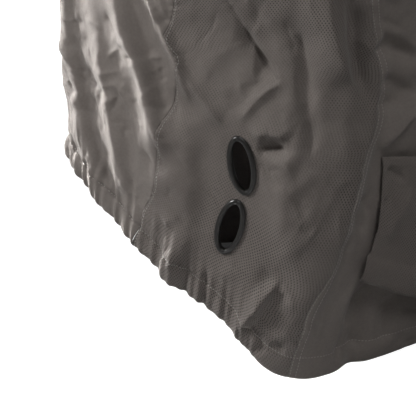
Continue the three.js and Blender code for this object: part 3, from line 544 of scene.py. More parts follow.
def rise_of(lines, points, normals, profile):
    """How far all the folds of a list lift each point of the cloth."""
    return sum(fold_rise(fold, line, points, normals, profile) for fold, line in lines)


def scattered(area, chance):
    """The crinkles of one area, drawn in order from a seeded generator."""
    for _ in range(area.count):
        middle = np.array((chance.uniform(*area.stations), chance.uniform(*area.drops)))
        scale = np.maximum((station_scale(*middle), drop_scale(*middle)), LEAST_SCALE)
        turn = math.radians(chance.normal(area.heading, area.stray))
        way = np.array((math.cos(turn), math.sin(turn)))
        half = way * chance.uniform(*area.lengths) / 2
        bow = np.array((-half[1], half[0])) * chance.uniform(-CRINKLE_BOW, CRINKLE_BOW)
        path = [tuple(middle + offset / scale) for offset in (-half, bow, half)]
        rise = chance.choice((-1, 1)) * chance.uniform(*area.rises)
        width = chance.uniform(*area.widths)
        yield Fold(path, rise, width, width * chance.uniform(*CRINKLE_SKEW))


def all_crinkles():
    """Every crinkle of the table's areas."""
    chance = np.random.default_rng(CRINKLE_SEED)
    return [crinkle for area in CRINKLES for crinkle in scattered(area, chance)]


FOLD_LINES = with_lines(FOLDS)
CREASE_LINES = with_lines((*CREASES, *all_crinkles()))
FLAP_LINES = with_lines(FLAP_CREASES)


def turned(station):
    """Stations with the right half of the nose counted below zero."""
    return np.where(station > RIGHT_NOSE, station - STATIONS, station)


def gathered_share(station):
    """How much the hem is drawn up at each station, from 0 to 1."""
    share = np.zeros(np.shape(station))
    for start, end in GATHERED:
        inside = np.minimum(station - start, end - station)
        share = np.maximum(share, ease(inside / GATHER_EASE))
    return share


def gather_rise(station, drop):
    """The coarse gathers that the solids have too."""
    near = ease((drop - (1 - GATHER_REACH)) / GATHER_REACH)
    turn = turned(station)
    amount, pace = GATHER_UNEVEN
    uneven = 1 - amount + amount * np.sin(turn * pace)
    amount, pace = GATHER_DRIFT
    wave = np.sin(2 * np.pi * GATHERS_PER_STATION * turn + amount * np.sin(turn * pace))
    return GATHER_RISE * gathered_share(turn) * near * uneven * wave


# The run along the hem, once before the nose, once round and once after
HEM_KNOTS = 3001
HEM_STATIONS = np.linspace(-STATIONS, 2 * STATIONS, HEM_KNOTS)
HEM_RUN = run_along(base_points(HEM_STATIONS, 1))


def hem_scale(station):
    """Millimetres of cloth to one unit of drop, just above the hem."""
    return np.linalg.norm(base_points(station, 1 - HEM_STEP) - base_points(station, 1), axis=-1) / HEM_STEP


# The hem's casing: its height, its puff and the dip of its stitch row on plain and on gathered cloth,
# and the reach and depth of the turned edge
CASING = 26
CASING_PUFF = (0.5, 2.2)
STITCH_DIP = (0.5, 1.3)
STITCH_DIP_WIDTH = 2.2
HEM_TURN = 5
HEM_TURN_DEPTH = 3

# Fine gathers: length, height and phase of each wave, and how far they climb above the hem. A wave drifts
# by amounts over lengths, at multiples of its phase, and its height changes by a share over a length.
FINE_GATHERS = ((13.0, 1.5, 0.4), (19.0, 1.3, 2.1), (8.5, 0.6, 4.0))
GATHER_CLIMB = 46
FINE_DRIFTS = ((1.6, 41, 1), (0.9, 17, 2))
FINE_UNEVEN = (0.35, 29)


def hem_rise(station, drop):
    """The casing's puff, its stitched line, the turned edge and fine gathers."""
    run = np.interp(station, HEM_STATIONS, HEM_RUN)
    above = (1 - drop) * hem_scale(station)
    held = gathered_share(turned(station))
    share, reach = FINE_UNEVEN
    waves = np.zeros_like(run)
    for length, height, phase in FINE_GATHERS:
        drift = sum(amount * np.sin(run / way + times * phase) for amount, way, times in FINE_DRIFTS)
        uneven = 1 - share + share * np.sin(run / reach + phase)
        waves += height * np.sin(2 * np.pi * run / length + drift) * uneven
    gathers = held * soft_profile(above / GATHER_CLIMB) * waves
    puff = lerp(*CASING_PUFF, held) * np.sin(np.pi * np.clip(above / CASING, 0, 1))
    dip = lerp(*STITCH_DIP, held) * soft_profile((above - CASING) / STITCH_DIP_WIDTH)
    turn = HEM_TURN_DEPTH * np.clip(1 - above / HEM_TURN, 0, 1) ** 2
    return gathers + puff - dip - turn


# Seam reliefs: the seam, the width of its lap and the stitch rows across it, in millimetres
Relief = namedtuple("Relief", "table lap rows")
SEAM_RELIEFS = (
    Relief(FRONT_SEAM, 5.0, (2.5,)),
    Relief(SECOND_SEAM, 9.0, (1.4, 7.8)),
    Relief(REAR_SEAM, 9.0, (1.8, 7.6)),
    Relief(RIGHT_REAR_SEAM, 9.0, (1.8, 7.6)),
    Relief(RIGHT_SECOND_SEAM, 9.0, (1.8, 7.6)),
    Relief(RIGHT_FRONT_SEAM, 5.0, (2.5,)),
)

# About the length of a seam, the lap and the slopes of its edges, the dips of the seam and of a stitch row,
# and the puckers: where they lie, their length along the seam, how they drift and how their height changes
SEAM_RUN = 1300
LAP_RISE = 0.2
LAP_SEWN = 1.2
LAP_FREE = 1.5
LAP_PAST = 1
SEAM_DIP = Dip(0, 0.4, 1.2)
ROW_DIP = Dip(0, 0.4, 0.9)
PUCKERS = Dip(2, 0.7, 6)
PUCKER_LENGTH = 9.3
PUCKER_DRIFTS = ((3.2, 23), (1.7, 8.3))
PUCKER_SWELLS = (19, 47)


def seam_rise(station, drop):
    """The raised lap, the sunk stitch rows and the puckers along each seam."""
    total = np.zeros_like(station)
    scale = station_scale(station, drop)
    run = SEAM_RUN * drop
    drift = sum(amount * np.sin(run / length) for amount, length in PUCKER_DRIFTS)
    swell, sway = PUCKER_SWELLS
    height = np.sin(run / swell + np.sin(run / sway)) ** 2
    pucker = height * np.sin(2 * np.pi * run / PUCKER_LENGTH + drift)
    for relief in SEAM_RELIEFS:
        across = (np.mod(station, STATIONS) - seam_station(relief.table, drop)) * scale
        lap = ease(across / LAP_SEWN) * ease((relief.lap + LAP_PAST - across) / LAP_FREE)
        rows = [ROW_DIP._replace(place=row) for row in relief.rows]
        total += LAP_RISE * lap - sunk(across, (SEAM_DIP, *rows)) + pucker * sunk(across, (PUCKERS,))
    return total


# Small uneven wrinkles all over, as seeded waves: their lengths, the bends of their lines, the length of
# a bend in wave lengths, and their shares of the rise
WRINKLE_SEED = 11
WRINKLE_WAVES = 18
WRINKLE_RISE = 0.22
WRINKLE_LENGTHS = (22, 75)
WRINKLE_BENDS = (0.5, 1.6)
WRINKLE_SWAY = 2.3
WRINKLE_SHARES = (0.4, 1.0)


def wrinkle_rise(points):
    """How far the small wrinkles lift each point of the cloth."""
    chance = np.random.default_rng(WRINKLE_SEED)
    total = np.zeros(len(points))
    for _ in range(WRINKLE_WAVES):
        heading = unit(chance.normal(size=3))
        length = chance.uniform(*WRINKLE_LENGTHS)
        bend = chance.uniform(*WRINKLE_BENDS)
        phase = chance.uniform(0, 2 * np.pi)
        along = points @ heading / length * np.pi
        across = points @ np.roll(heading, 1) / (WRINKLE_SWAY * length) * 2 * np.pi
        wave = 1 - 2 * np.abs(np.sin(along + bend * np.sin(across + phase)))
        total += wave * chance.uniform(*WRINKLE_SHARES)
    return WRINKLE_RISE * total


def pad_axes():
    """Axes of the eyelets' pad: across it, up along it and facing out."""
    out = unit(PAD_FACING)
    across = unit(np.cross((0, 0, 1), out))
    return across, np.cross(out, across), out


def pad_share(points):
    """How firmly each point is held in the pad's plane, and its height over the plane."""
    across, along, out = pad_axes()
    offset = points - PAD_CENTRE
    x = np.maximum(0, np.abs(offset @ across) - PAD_WIDTH / 2)
    y = np.maximum(0, np.abs(offset @ along) - PAD_HEIGHT / 2)
    height = offset @ out
    near = np.abs(height) <= PAD_BLEND
    return near * ease(1 - np.hypot(x, y) / PAD_BLEND), height


def oval_reach(points, seat, size):
    """How far each point lies from an eyelet's middle, 1 being on an oval of a given size."""
    centre, short, long, _ = seat_axes(seat)
    offset = points - centre
    return np.hypot(offset @ short / (size[0] / 2), offset @ long / (size[1] / 2))


def ring_share(points):
    """How firmly the eyelets hold the cloth flat at each point, from 0 to 1."""
    reach = np.min([oval_reach(points, seat, EYELET_OUTER) for seat in EYELET_SEATS], axis=0)
    return ease(1 - (reach - 1) * EYELET_OUTER[0] / 2 / EYELET_HOLD)


def cloth_points(station, drop):
    """Points of the draped cloth, for flat arrays of station and drop."""
    points = base_points(station, drop)
    normals = normals_at(station, drop)
    rise = gather_rise(station, drop) + hem_rise(station, drop) + seam_rise(station, drop)
    rise += wrinkle_rise(points) + rise_of(FOLD_LINES, points, normals, soft_profile)
    crease = rise_of(CREASE_LINES, points, normals, sharp_profile)
    points = points + normals * rise[:, None]
    share, height = pad_share(points)
    points = points - (share * height)[:, None] * pad_axes()[2]
    return points + normals * (crease * (1 - ring_share(points)))[:, None]


def spread(start, legs):
    """Numbers from start through legs of (end, count), evenly spaced in each leg."""
    numbers = [start]
    for end, count in legs:
        first = numbers[-1]
        numbers.extend(first + (end - first) * (k + 1) / count for k in range(count))
    return np.array(numbers)


# Rows down the cloth and columns across each panel, closest where the photograph shows them.
# The crown's middle row lies just off the ridge.
CLOSE_ROWS = ((0.11, 6), (0.72, 36), (0.965, 190), (1.0, 40))
SIDE_ROWS = ((0.11, 6), (0.72, 44), (0.965, 130), (1.0, 30))
FAR_ROWS = ((0.11, 6), (0.72, 64), (0.965, 50), (1.0, 18))
RIDGE_DROP = 1e-4
WELD_REACH = 1e-5
CROWN_ROWS = spread(CROWN_DROP, ((0.09, 6), (RIDGE_DROP, 18)))
CROWN_COLUMNS = 240
Panel = namedtuple("Panel", "node weave start end rows columns flat area")
PANELS = (
    Panel("front_panel", "plain", RIGHT_FRONT_SEAM, FRONT_SEAM,
          CLOSE_ROWS, ((0.45, 36), (0.955, 90), (1.0, 9)), (0.27, 0.98), 0.215),
    Panel("gusset_left", "diamond", FRONT_SEAM, SECOND_SEAM,
          CLOSE_ROWS, ((0.05, 9), (0.95, 130), (1.0, 9)), (0.27, 1.12), 0.22),
    Panel("side_left", "plain", SECOND_SEAM, REAR_SEAM,
          SIDE_ROWS, ((0.012, 9), (0.19, 80), (0.26, 12), (1.0, 120)), (2.0, 1.25), 1.87),
    Panel("rear_panel", "plain", REAR_SEAM, RIGHT_REAR_SEAM,
          FAR_ROWS, ((1.0, 60),), (0.45, 0.86), 0.27),
    Panel("side_right", "plain", RIGHT_REAR_SEAM, RIGHT_SECOND_SEAM,
          FAR_ROWS, ((1.0, 190),), (2.0, 1.25), 1.87),
    Panel("gusset_right", "diamond", RIGHT_SECOND_SEAM, RIGHT_FRONT_SEAM,
          FAR_ROWS, ((1.0, 50),), (0.27, 1.12), 0.19),
)


def panel_grid(panel):
    """Stations and drops of a panel's vertices, as grids of rows by columns."""
    across = spread(0, panel.columns)
    drop = np.repeat(spread(CROWN_DROP, panel.rows)[:, None], len(across), axis=1)
    start = seam_station(panel.start, drop)
    end = seam_station(panel.end, drop)
    end = np.where(end < start, end + STATIONS, end)
    return lerp(start, end, across[None, :]), drop


def grid_faces(rows, columns):
    """Faces of a grid whose rows run down the cloth and whose stations rise along them."""
    number = np.arange(rows * columns).reshape(rows, columns)
    a, b = number[:-1, :-1], number[:-1, 1:]
    c, d = number[1:, :-1], number[1:, 1:]
    return np.stack((a, c, d, b), axis=-1).reshape(-1, 4)


def grid_runs(grid):
    """Metres along each row from its middle and down the middle column, for the weave."""
    middle = grid.shape[1] // 2
    across = run_along(grid.swapaxes(0, 1)).T
    across = across - across[:, middle, None]
    down = np.broadcast_to(-run_along(grid[:, middle])[:, None], across.shape)
    return np.stack((across, down), axis=-1) * MM


def make_object(name, points, faces, runs=None):
    """A smooth mesh object from points in millimetres, with the weave's runs as its UV map."""
    mesh = bpy.data.meshes.new(name)
    mesh.from_pydata((points * MM).tolist(), [], faces)
    mesh.shade_smooth()
    if runs is not None:
        corners = np.empty(len(mesh.loops), np.int32)
        mesh.loops.foreach_get("vertex_index", corners)
        layer = mesh.uv_layers.new(name=WEAVE_MAP)
        layer.data.foreach_set("uv", runs.reshape(-1, 2)[corners].ravel())
    piece = bpy.data.objects.new(name, mesh)
    bpy.context.scene.collection.objects.link(piece)
    return piece


def give_thickness(piece, thickness):
    """Thickens a sheet inward from its outer face."""
    solid = piece.modifiers.new("cloth thickness", "SOLIDIFY")
    solid.thickness = thickness
    solid.offset = -1
    solid.use_even_offset = False


def dress(piece, material, nodes=()):
    """Gives a piece its material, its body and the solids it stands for."""
    piece.data.materials.append(material)
    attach(piece, "root")
    if nodes:
        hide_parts(*nodes)


# Cloth pieces

def build_panel(panel, settings):
    """One sewn panel as a thin sheet on its solid's folds."""
    station, drop = panel_grid(panel)
    rows, columns = station.shape
    points = cloth_points(station.ravel(), drop.ravel())
    faces = grid_faces(rows, columns)
    if panel.node == EYELET_PANEL:
        faces = faces[~in_eyelet_cut(points[faces].mean(axis=1))]
    runs = grid_runs(points.reshape(rows, columns, 3))
    piece = make_object(panel.node + "_cloth", points, faces.tolist(), runs)
    give_thickness(piece, settings.cloth.thickness)
    dress(piece, cloth_material(panel.weave, settings), (panel.node,))


def build_crown(settings):
    """The top panel, one sheet from the right seam over the ridge to the left, closed at nose and tail."""
    along = np.linspace(0, TAIL, CROWN_COLUMNS + 1)
    side = np.concatenate((CROWN_ROWS, -CROWN_ROWS[-2::-1]))
    station = np.where(side[:, None] > 0, STATIONS - along, along)
    drop = np.repeat(np.abs(side)[:, None], len(along), axis=1)
    points = cloth_points(station.ravel(), drop.ravel())
    piece = make_object("crown_panel_cloth", points, grid_faces(*drop.shape).tolist(), points[:, :2] * MM)
    weld(piece)
    give_thickness(piece, settings.cloth.thickness)
    dress(piece, cloth_material("plain", settings), ("crown_panel",))


def weld(piece):
    """Joins the vertices that lie at one place."""
    shape = bmesh.new()
    shape.from_mesh(piece.data)
    bmesh.ops.remove_doubles(shape, verts=shape.verts, dist=WELD_REACH)
    shape.to_mesh(piece.data)
    shape.free()


def flap_points(u, v):
    """Points of the flap, u across it and v down it, for flat arrays."""
    bow = 4 * v * (1 - v)
    ends = []
    for top, middle, bottom in (FLAP_LEFT, FLAP_RIGHT):
        ends.append(lerp(top, bottom, v) + bow * (middle - (top + bottom) / 2))
    station = lerp(ends[0], ends[1], u) - FLAP_HEM_SIDE * (1 - u) * flap_hem(v)
    drop = lerp(lerp(*FLAP_TOP, u), lerp(*FLAP_BOTTOM, u), v)
    points = base_points(station, drop)
    normals = normals_at(station, drop)
    rise = FLAP_STAND + FLAP_LIFT * v ** 2 + FLAP_BULGE * ease(u / FLAP_BULGE_REACH) + flap_relief(u, v)
    rise += rise_of(FOLD_LINES, points, normals, soft_profile)
    rise += rise_of(FLAP_LINES, points, normals, sharp_profile)
    return points + normals * rise[:, None]


def flap_hem(v):
    """0 above the flap's hem band and 1 on it."""
    return ease((v - FLAP_HEM) / FLAP_HEM_EASE + 0.5)


def flap_relief(u, v):
    """The flap's sewn top, its rolled lower lip, its hem band under a sunk line, and a sunk side line."""
    band = FLAP_HEM_RISE * flap_hem(v)
    puff = FLAP_HEM_PUFF * np.sin(np.pi * np.clip((v - FLAP_HEM) / (1 - FLAP_HEM), 0, 1))
    return band + puff - sunk(v, FLAP_DIPS_ACROSS) - sunk(u, FLAP_DIPS_DOWN)


def build_flap(settings):
    """The flap over the side panel, free along its lower edge."""
    u, v = np.meshgrid(np.linspace(0, 1, FLAP_COLUMNS + 1), np.linspace(0, 1, FLAP_ROWS + 1))
    points = flap_points(u.ravel(), v.ravel())
    runs = grid_runs(points.reshape(u.shape + (3,)))
    piece = make_object("flap_cloth", points, grid_faces(*u.shape).tolist(), runs)
    give_thickness(piece, settings.cloth.thickness)
    dress(piece, cloth_material("diamond", settings), ("flap",))


# Eyelets

def seat_axes(seat):
    """The middle of an eyelet and its short, long and outward axes."""
    across, along, out = pad_axes()
    lean = math.radians(seat.lean)
    short = across * math.cos(lean) - along * math.sin(lean)
    long = across * math.sin(lean) + along * math.cos(lean)
    return PAD_CENTRE + across * seat.across + along * seat.along, short, long, out


def in_eyelet_cut(points):
    """Which points lie in the holes that the eyelets' collars pass through."""
    near = np.abs((points - PAD_CENTRE) @ pad_axes()[2]) < PAD_BLEND
    return near & np.any([oval_reach(points, seat, EYELET_CUT) < 1 for seat in EYELET_SEATS], axis=0)


def build_eyelet(seat, settings):
    """A moulded oval ring, round on its faces, through the cloth."""
    centre, short, long, out = seat_axes(seat)
    turn = np.linspace(0, 2 * np.pi, EYELET_STEPS, endpoint=False)[:, None]
    outward, height = np.array(EYELET_PROFILE).T[:, None]
    width = lerp(EYELET_HOLE[0], EYELET_OUTER[0], outward) / 2
    length = lerp(EYELET_HOLE[1], EYELET_OUTER[1], outward) / 2
    x = (width * np.cos(turn))[..., None] * short
    y = (length * np.sin(turn))[..., None] * long
    points = centre + x + y + np.broadcast_to(height, width.shape)[..., None] * out
    number = np.arange(points.shape[0] * points.shape[1]).reshape(points.shape[:2])
    next_turn, next_row = np.roll(number, -1, axis=0), np.roll(number, -1, axis=1)
    faces = np.stack((number, next_row, np.roll(next_turn, -1, axis=1), next_turn), axis=-1)
    piece = make_object(seat.node + "_ring", points.reshape(-1, 3), faces.reshape(-1, 4).tolist())
    dress(piece, plastic_material(settings), (seat.node,))
    rounding = piece.modifiers.new("moulded rounding", "SUBSURF")
    rounding.levels = rounding.render_levels = 1


# Stitching

def stitch_line(station, drop, pitch, length):
    """Stitches along a line of the cloth, as arrays of their starts, ends and outward directions."""
    points = cloth_points(station, drop)
    normals = normals_at(station, drop)
    run = run_along(points)
    starts = np.arange(pitch, run[-1] - pitch, pitch)

    def at(values, place):
        """Values of the line at given runs along it."""
        return np.stack([np.interp(place, run, values[:, axis]) for axis in range(3)], axis=-1)

    return at(points, starts), at(points, starts + length), at(normals, starts)


def seam_lines():
    """Stations and drops along every stitch row: those beside the seams, then the hem's."""
    drop = np.linspace(CROWN_DROP, 1, SEAM_SAMPLES)
    for relief in SEAM_RELIEFS:
        middle = seam_station(relief.table, drop)
        for row in relief.rows:
            yield middle + row / station_scale(middle, drop), drop
    station = np.linspace(0, STATIONS, HEM_SAMPLES)
    yield station, 1 - CASING / hem_scale(station)


def build_stitching(settings):
    """Every visible stitch as a small spindle lying on the cloth, in one mesh."""
    pitch = settings.stitch.pitch / MM
    length = settings.stitch.length / MM
    radius = settings.stitch.thread / MM / 2
    rows = [stitch_line(station, drop, pitch, length) for station, drop in seam_lines()]
    start, end, normal = (np.concatenate([row[k] for row in rows]) for k in range(3))
    axis = unit(end - start)
    normal = unit(normal - (normal * axis).sum(-1, keepdims=True) * axis)
    corners = radius * spindle_ring(normal, np.cross(axis, normal))
    rings = [lerp(start, end, u)[:, None] + corners for u in SPINDLE_RINGS]
    points = np.concatenate((start[:, None], *rings, end[:, None]), axis=1)
    points += STITCH_STAND * radius * normal[:, None]
    piece = make_object("stitching", points.reshape(-1, 3), spindle_faces(len(start)))
    dress(piece, thread_material(settings))


def spindle_ring(normal, side):
    """The corners of a stitch's section, for every stitch."""
    turn = np.arange(SPINDLE_SIDES) * 2 * np.pi / SPINDLE_SIDES
    return np.cos(turn)[None, :, None] * normal[:, None] + np.sin(turn)[None, :, None] * side[:, None]


def spindle_faces(count):
    """Faces of all the stitches: a tip, two rings and a tip each."""
    ring = np.arange(SPINDLE_SIDES)
    after = np.roll(ring, -1)
    first, second, tip = 1, 1 + SPINDLE_SIDES, 1 + 2 * SPINDLE_SIDES
    starts = np.stack((np.zeros_like(ring), first + after, first + ring), axis=-1)
    sides = np.stack((first + ring, first + after, second + after, second + ring), axis=-1)
    ends = np.stack((second + ring, second + after, np.full_like(ring, tip)), axis=-1)
    offset = (np.arange(count) * (tip + 1))[:, None, None]
    faces = []
    for pattern in (starts, sides, ends):
        faces.extend((offset + pattern).reshape(-1, pattern.shape[1]).tolist())
    return faces


# Materials

def add_node(tree, kind, inputs=None, **options):
    """A new node with its options set and its inputs given a value or linked to a socket."""
    node = tree.nodes.new(kind)
    for option, value in options.items():
        setattr(node, option, value)
    for socket, value in (inputs or {}).items():
        if isinstance(value, bpy.types.NodeSocket):
            tree.links.new(value, node.inputs[socket])
        else:
            node.inputs[socket].default_value = value
    return node


def math_node(tree, operation, *values):
    """The result of a math node on numbers or sockets."""
    return add_node(tree, "ShaderNodeMath", dict(enumerate(values)), operation=operation).outputs[0]


def group_node(tree, group, **inputs):
    """A node that places a shared effect with its own values."""
    return add_node(tree, "ShaderNodeGroup", inputs, node_tree=group)


def new_group(name, inputs, outputs):
    """An empty node group with float sockets, and its input and output nodes."""
    tree = bpy.data.node_groups.new(name, "ShaderNodeTree")
    for socket, default in inputs:
        made = tree.interface.new_socket(socket, in_out="INPUT", socket_type="NodeSocketFloat")
        made.default_value = default
    for socket in outputs:
        tree.interface.new_socket(socket, in_out="OUTPUT", socket_type="NodeSocketFloat")
    return tree, tree.nodes.new("NodeGroupInput"), tree.nodes.new("NodeGroupOutput")


def woven_lattice():
    """Node group: threads crossing in a lattice, as a height and as a mask of the pits between them."""
    name = "Woven lattice"
    if name in bpy.data.node_groups:
        return bpy.data.node_groups[name]
    tree, given, result = new_group(name, (("Across", 0.001), ("Down", 0.001)), ("Height", "Pit"))
    run = add_node(tree, "ShaderNodeUVMap", uv_map=WEAVE_MAP).outputs["UV"]
    apart = add_node(tree, "ShaderNodeSeparateXYZ", {0: run})
    waves = []
    for axis, pitch in (("X", "Across"), ("Y", "Down")):
        turns = math_node(tree, "DIVIDE", apart.outputs[axis], given.outputs[pitch])
        waves.append(math_node(tree, "COSINE", math_node(tree, "MULTIPLY", turns, 2 * math.pi)))
    height = math_node(tree, "MULTIPLY_ADD", math_node(tree, "MULTIPLY", *waves), 0.5, 0.5)
    pit = add_node(tree, "ShaderNodeMapRange", {"Value": height, "From Min": 0.45, "From Max": 0.05})
    tree.links.new(height, result.inputs["Height"])
    tree.links.new(pit.outputs["Result"], result.inputs["Pit"])
    return tree


def cloth_mottle():
    """Node group: slow and fine unevenness of dyed cloth, about one."""
    name = "Cloth mottle"
    if name in bpy.data.node_groups:
        return bpy.data.node_groups[name]
    tree, given, result = new_group(name, (("Amount", 0.1),), ("Tone", "Patch"))
    spot = add_node(tree, "ShaderNodeTexCoord").outputs["Object"]
    slow = add_node(tree, "ShaderNodeTexNoise", {"Vector": spot, "Scale": 9.0, "Detail": 3.0})
    fine = add_node(tree, "ShaderNodeTexNoise", {"Vector": spot, "Scale": 420.0, "Detail": 2.0})
    both = math_node(tree, "ADD", slow.outputs[0], fine.outputs[0])
    centred = math_node(tree, "SUBTRACT", both, 1.0)
    tone = math_node(tree, "MULTIPLY_ADD", centred, given.outputs["Amount"], 1.0)
    limits = {"From Min": 0.38, "From Max": 0.6}
    patch = add_node(tree, "ShaderNodeMapRange", {"Value": slow.outputs[0], **limits})
    tree.links.new(tone, result.inputs["Tone"])
    tree.links.new(patch.outputs["Result"], result.inputs["Patch"])
    return tree


def cloth_crumple():
    """Node group: the fine crisp lines of cloth that was folded and handled, as a height."""
    name = "Cloth crumple"
    if name in bpy.data.node_groups:
        return bpy.data.node_groups[name]
    tree, given, result = new_group(name, (("Scale", 30.0),), ("Height",))
    spot = add_node(tree, "ShaderNodeTexCoord").outputs["Object"]
    lines = add_node(tree, "ShaderNodeTexNoise", {
        "Vector": spot, "Scale": given.outputs["Scale"],
        "Detail": 4.0, "Roughness": 0.55, "Distortion": 0.6,
    }, noise_type="RIDGED_MULTIFRACTAL")
    tree.links.new(lines.outputs[0], result.inputs["Height"])
    return tree


def new_material(name, color, roughness, **sockets):
    """A material with a Principled shader, its plain values set on the shader's own sockets."""
    material = bpy.data.materials.new(name)
    material.use_nodes = True
    shader = material.node_tree.nodes["Principled BSDF"]
    shader.inputs["Base Color"].default_value = (*color, 1.0)
    shader.inputs["Roughness"].default_value = roughness
    for socket, value in sockets.items():
        shader.inputs[socket.replace("_", " ")].default_value = value
    return material, material.node_tree, shader


def shaded(tree, color, factor):
    """A colour scaled by a factor that changes over the surface."""
    scaled = add_node(tree, "ShaderNodeVectorMath", {"Vector": color, "Scale": factor}, operation="SCALE")
    return scaled.outputs["Vector"]


def cloth_material(weave, settings):
    """Polyester cloth: a fine plain weave, or the same with a diamond figure of small sunk dots, dark
    partly by figure, partly by painted shade.
    """
    name = weave + " cloth"
    if name in bpy.data.materials:
        return bpy.data.materials[name]
    cloth = settings.cloth
    color = tuple(cloth.diamond_color if weave == "diamond" else cloth.plain_color)
    material, tree, shader = new_material(
        name, color, roughness=0.7, Sheen_Weight=0.12, Specular_IOR_Level=0.35)
    tone = group_node(tree, cloth_mottle(), Amount=0.35)
    threads = group_node(tree, woven_lattice(), Across=cloth.thread_pitch, Down=cloth.thread_pitch)
    height = threads.outputs["Height"]
    factor = tone.outputs["Tone"]
    if weave == "diamond":
        figure = group_node(tree, woven_lattice(), Across=cloth.diamond_width, Down=cloth.diamond_height)
        # The dots' darkening is partly the weave's figure and partly painted shade in the sunk pits,
        # stronger in slow patches
        shown = math_node(tree, "MULTIPLY_ADD", tone.outputs["Patch"], -cloth.diamond_shade, -LEAST_SHADE)
        light = math_node(tree, "MULTIPLY_ADD", figure.outputs["Pit"], shown, 1.0)
        factor = math_node(tree, "MULTIPLY", factor, light)
        height = math_node(tree, "MULTIPLY_ADD", figure.outputs["Height"], DIAMOND_RELIEF, height)
    crumple = group_node(tree, cloth_crumple(), Scale=40.0)
    height = math_node(tree, "MULTIPLY_ADD", crumple.outputs["Height"], CRUMPLE_RELIEF, height)
    tree.links.new(shaded(tree, color, factor), shader.inputs["Base Color"])
    bump = add_node(tree, "ShaderNodeBump", {"Strength": 0.5, "Distance": 0.0003, "Height": height})
    tree.links.new(bump.outputs["Normal"], shader.inputs["Normal"])
    return material


def plastic_material(settings):
    """Black moulded plastic, a little scuffed."""
    name = "moulded plastic"
    if name in bpy.data.materials:
        return bpy.data.materials[name]
    material, tree, shader = new_material(name, settings.eyelet.color, PLASTIC_ROUGHNESS, Coat_Weight=0.25)
    tone = group_node(tree, cloth_mottle(), Amount=0.5)
    roughness = math_node(tree, "MULTIPLY", tone.outputs["Tone"], PLASTIC_ROUGHNESS)
    tree.links.new(roughness, shader.inputs["Roughness"])
    return material


def thread_material(settings):
    """Sewing thread, lighter than the cloth."""
    color = tuple(settings.stitch.color)
    material, tree, shader = new_material("sewing thread", color, roughness=0.6, Sheen_Weight=0.2)
    tone = group_node(tree, cloth_mottle(), Amount=0.6)
    tree.links.new(shaded(tree, color, tone.outputs["Tone"]), shader.inputs["Base Color"])
    return material


# Stage

def direction(azimuth, elevation):
    """The way from the object to a viewer: azimuth 0 looks along +Y, elevation is above the horizon."""
    flat = math.cos(elevation)
    return Vector((math.sin(azimuth) * flat, -math.cos(azimuth) * flat, math.sin(elevation)))


def build_camera(stage):
    """The camera of the photograph's view."""
    back = direction(stage.azimuth, stage.elevation)
    data = bpy.data.cameras.new("photo view")
    data.lens = stage.lens
    data.sensor_width = SENSOR
    camera = bpy.data.objects.new("photo view", data)
    camera.location = Vector(stage.target) + back * stage.distance
    camera.rotation_euler = (-back).to_track_quat("-Z", "Y").to_euler()
    bpy.context.scene.collection.objects.link(camera)
    bpy.context.scene.camera = camera


def build_light(row, stage):
    """One light of the table, facing the cover."""
    data = bpy.data.lights.new(row.name, "AREA")
    data.energy = row.power
    data.shape = "RECTANGLE"
    data.size = row.width
    data.size_y = row.height
    data.spread = math.radians(row.spread)
    light = bpy.data.objects.new(row.name, data)
    toward = direction(math.radians(row.azimuth), math.radians(row.elevation))
    sideways = Vector((0, 0, 1)).cross(toward).normalized()
    light.location = Vector(stage.target) + toward * row.distance + sideways * row.shift
    light.rotation_euler = toward.to_track_quat("Z", "Y").to_euler()
    bpy.context.scene.collection.objects.link(light)


def floor_rings(stage):
    """Rings of the floor from under the cover outward, each with its points and how free it is of the
    painted shade.
    """
    outline = base_points(np.linspace(0, STATIONS, FLOOR_STEPS, endpoint=False), 1)[:, :2]
    far = unit(outline) * stage.floor_size / MM
    along, across = outline.T
    start, end = FLOOR_SHADE_BEND
    wider = 1 + FLOOR_SHADE_RIGHT * ease((start - along) / (start - end))
    shaded_to = across * np.where(across < 0, FLOOR_SHADE_LEFT, wider)
    open_from = shaded_to + np.where(shaded_to < 0, *FLOOR_FADE)
    dark = np.stack((np.clip(along, *FLOOR_SHADE), shaded_to), axis=-1)
    light = np.stack((np.clip(along, *FLOOR_OPEN), open_from), axis=-1)
    return ((FLOOR_MIDDLE * dark, 0), (dark, 0), (light, 1), (far, 1))


def build_floor(stage):
    """A wide pale floor, evenly bright where it is open to the light, with a painted shade under the cover.
    """
    rings = floor_rings(stage)
    points = np.concatenate([ring for ring, _ in rings])
    points = np.concatenate((points, np.full((len(points), 1), FLOOR_LEVEL / MM)), axis=1)
    number = np.arange(len(points)).reshape(len(rings), FLOOR_STEPS)
    after = np.roll(number, -1, axis=1)
    faces = np.stack((number[:-1], number[1:], after[1:], after[:-1]), axis=-1).reshape(-1, 4).tolist()
    floor = make_object("floor", points, faces + [number[0].tolist()])
    shares = np.repeat([share for _, share in rings], FLOOR_STEPS)
    # How free of the painted shade each point is: 0 under the cover, 1 in the open
    light = floor.data.attributes.new("open", "FLOAT", "POINT")
    light.data.foreach_set("value", shares.astype(np.float32))
    floor.data.materials.append(floor_material())


def floor_material():
    """Pale floor that shows bright and gives back some light; under the cover a painted shade dims its
    colour and glow.
    """
    material, tree, shader = new_material("pale floor", FLOOR_COLOR, roughness=0.9, Specular_IOR_Level=0.0)
    seen = add_node(tree, "ShaderNodeLightPath").outputs["Is Camera Ray"]
    share = add_node(tree, "ShaderNodeAttribute", attribute_name="open").outputs["Fac"]
    # Painted shade: under the cover the floor's colour keeps only FLOOR_UNDER of itself
    lit = math_node(tree, "MULTIPLY_ADD", share, 1 - FLOOR_UNDER, FLOOR_UNDER)
    tree.links.new(shaded(tree, FLOOR_COLOR, lit), shader.inputs["Base Color"])
    shader.inputs["Emission Color"].default_value = (1.0, 1.0, 1.0, 1.0)
    # The floor glows for the camera only outside the painted shade
    glow = math_node(tree, "MULTIPLY", seen, share)
    tree.links.new(glow, shader.inputs["Emission Strength"])
    return material


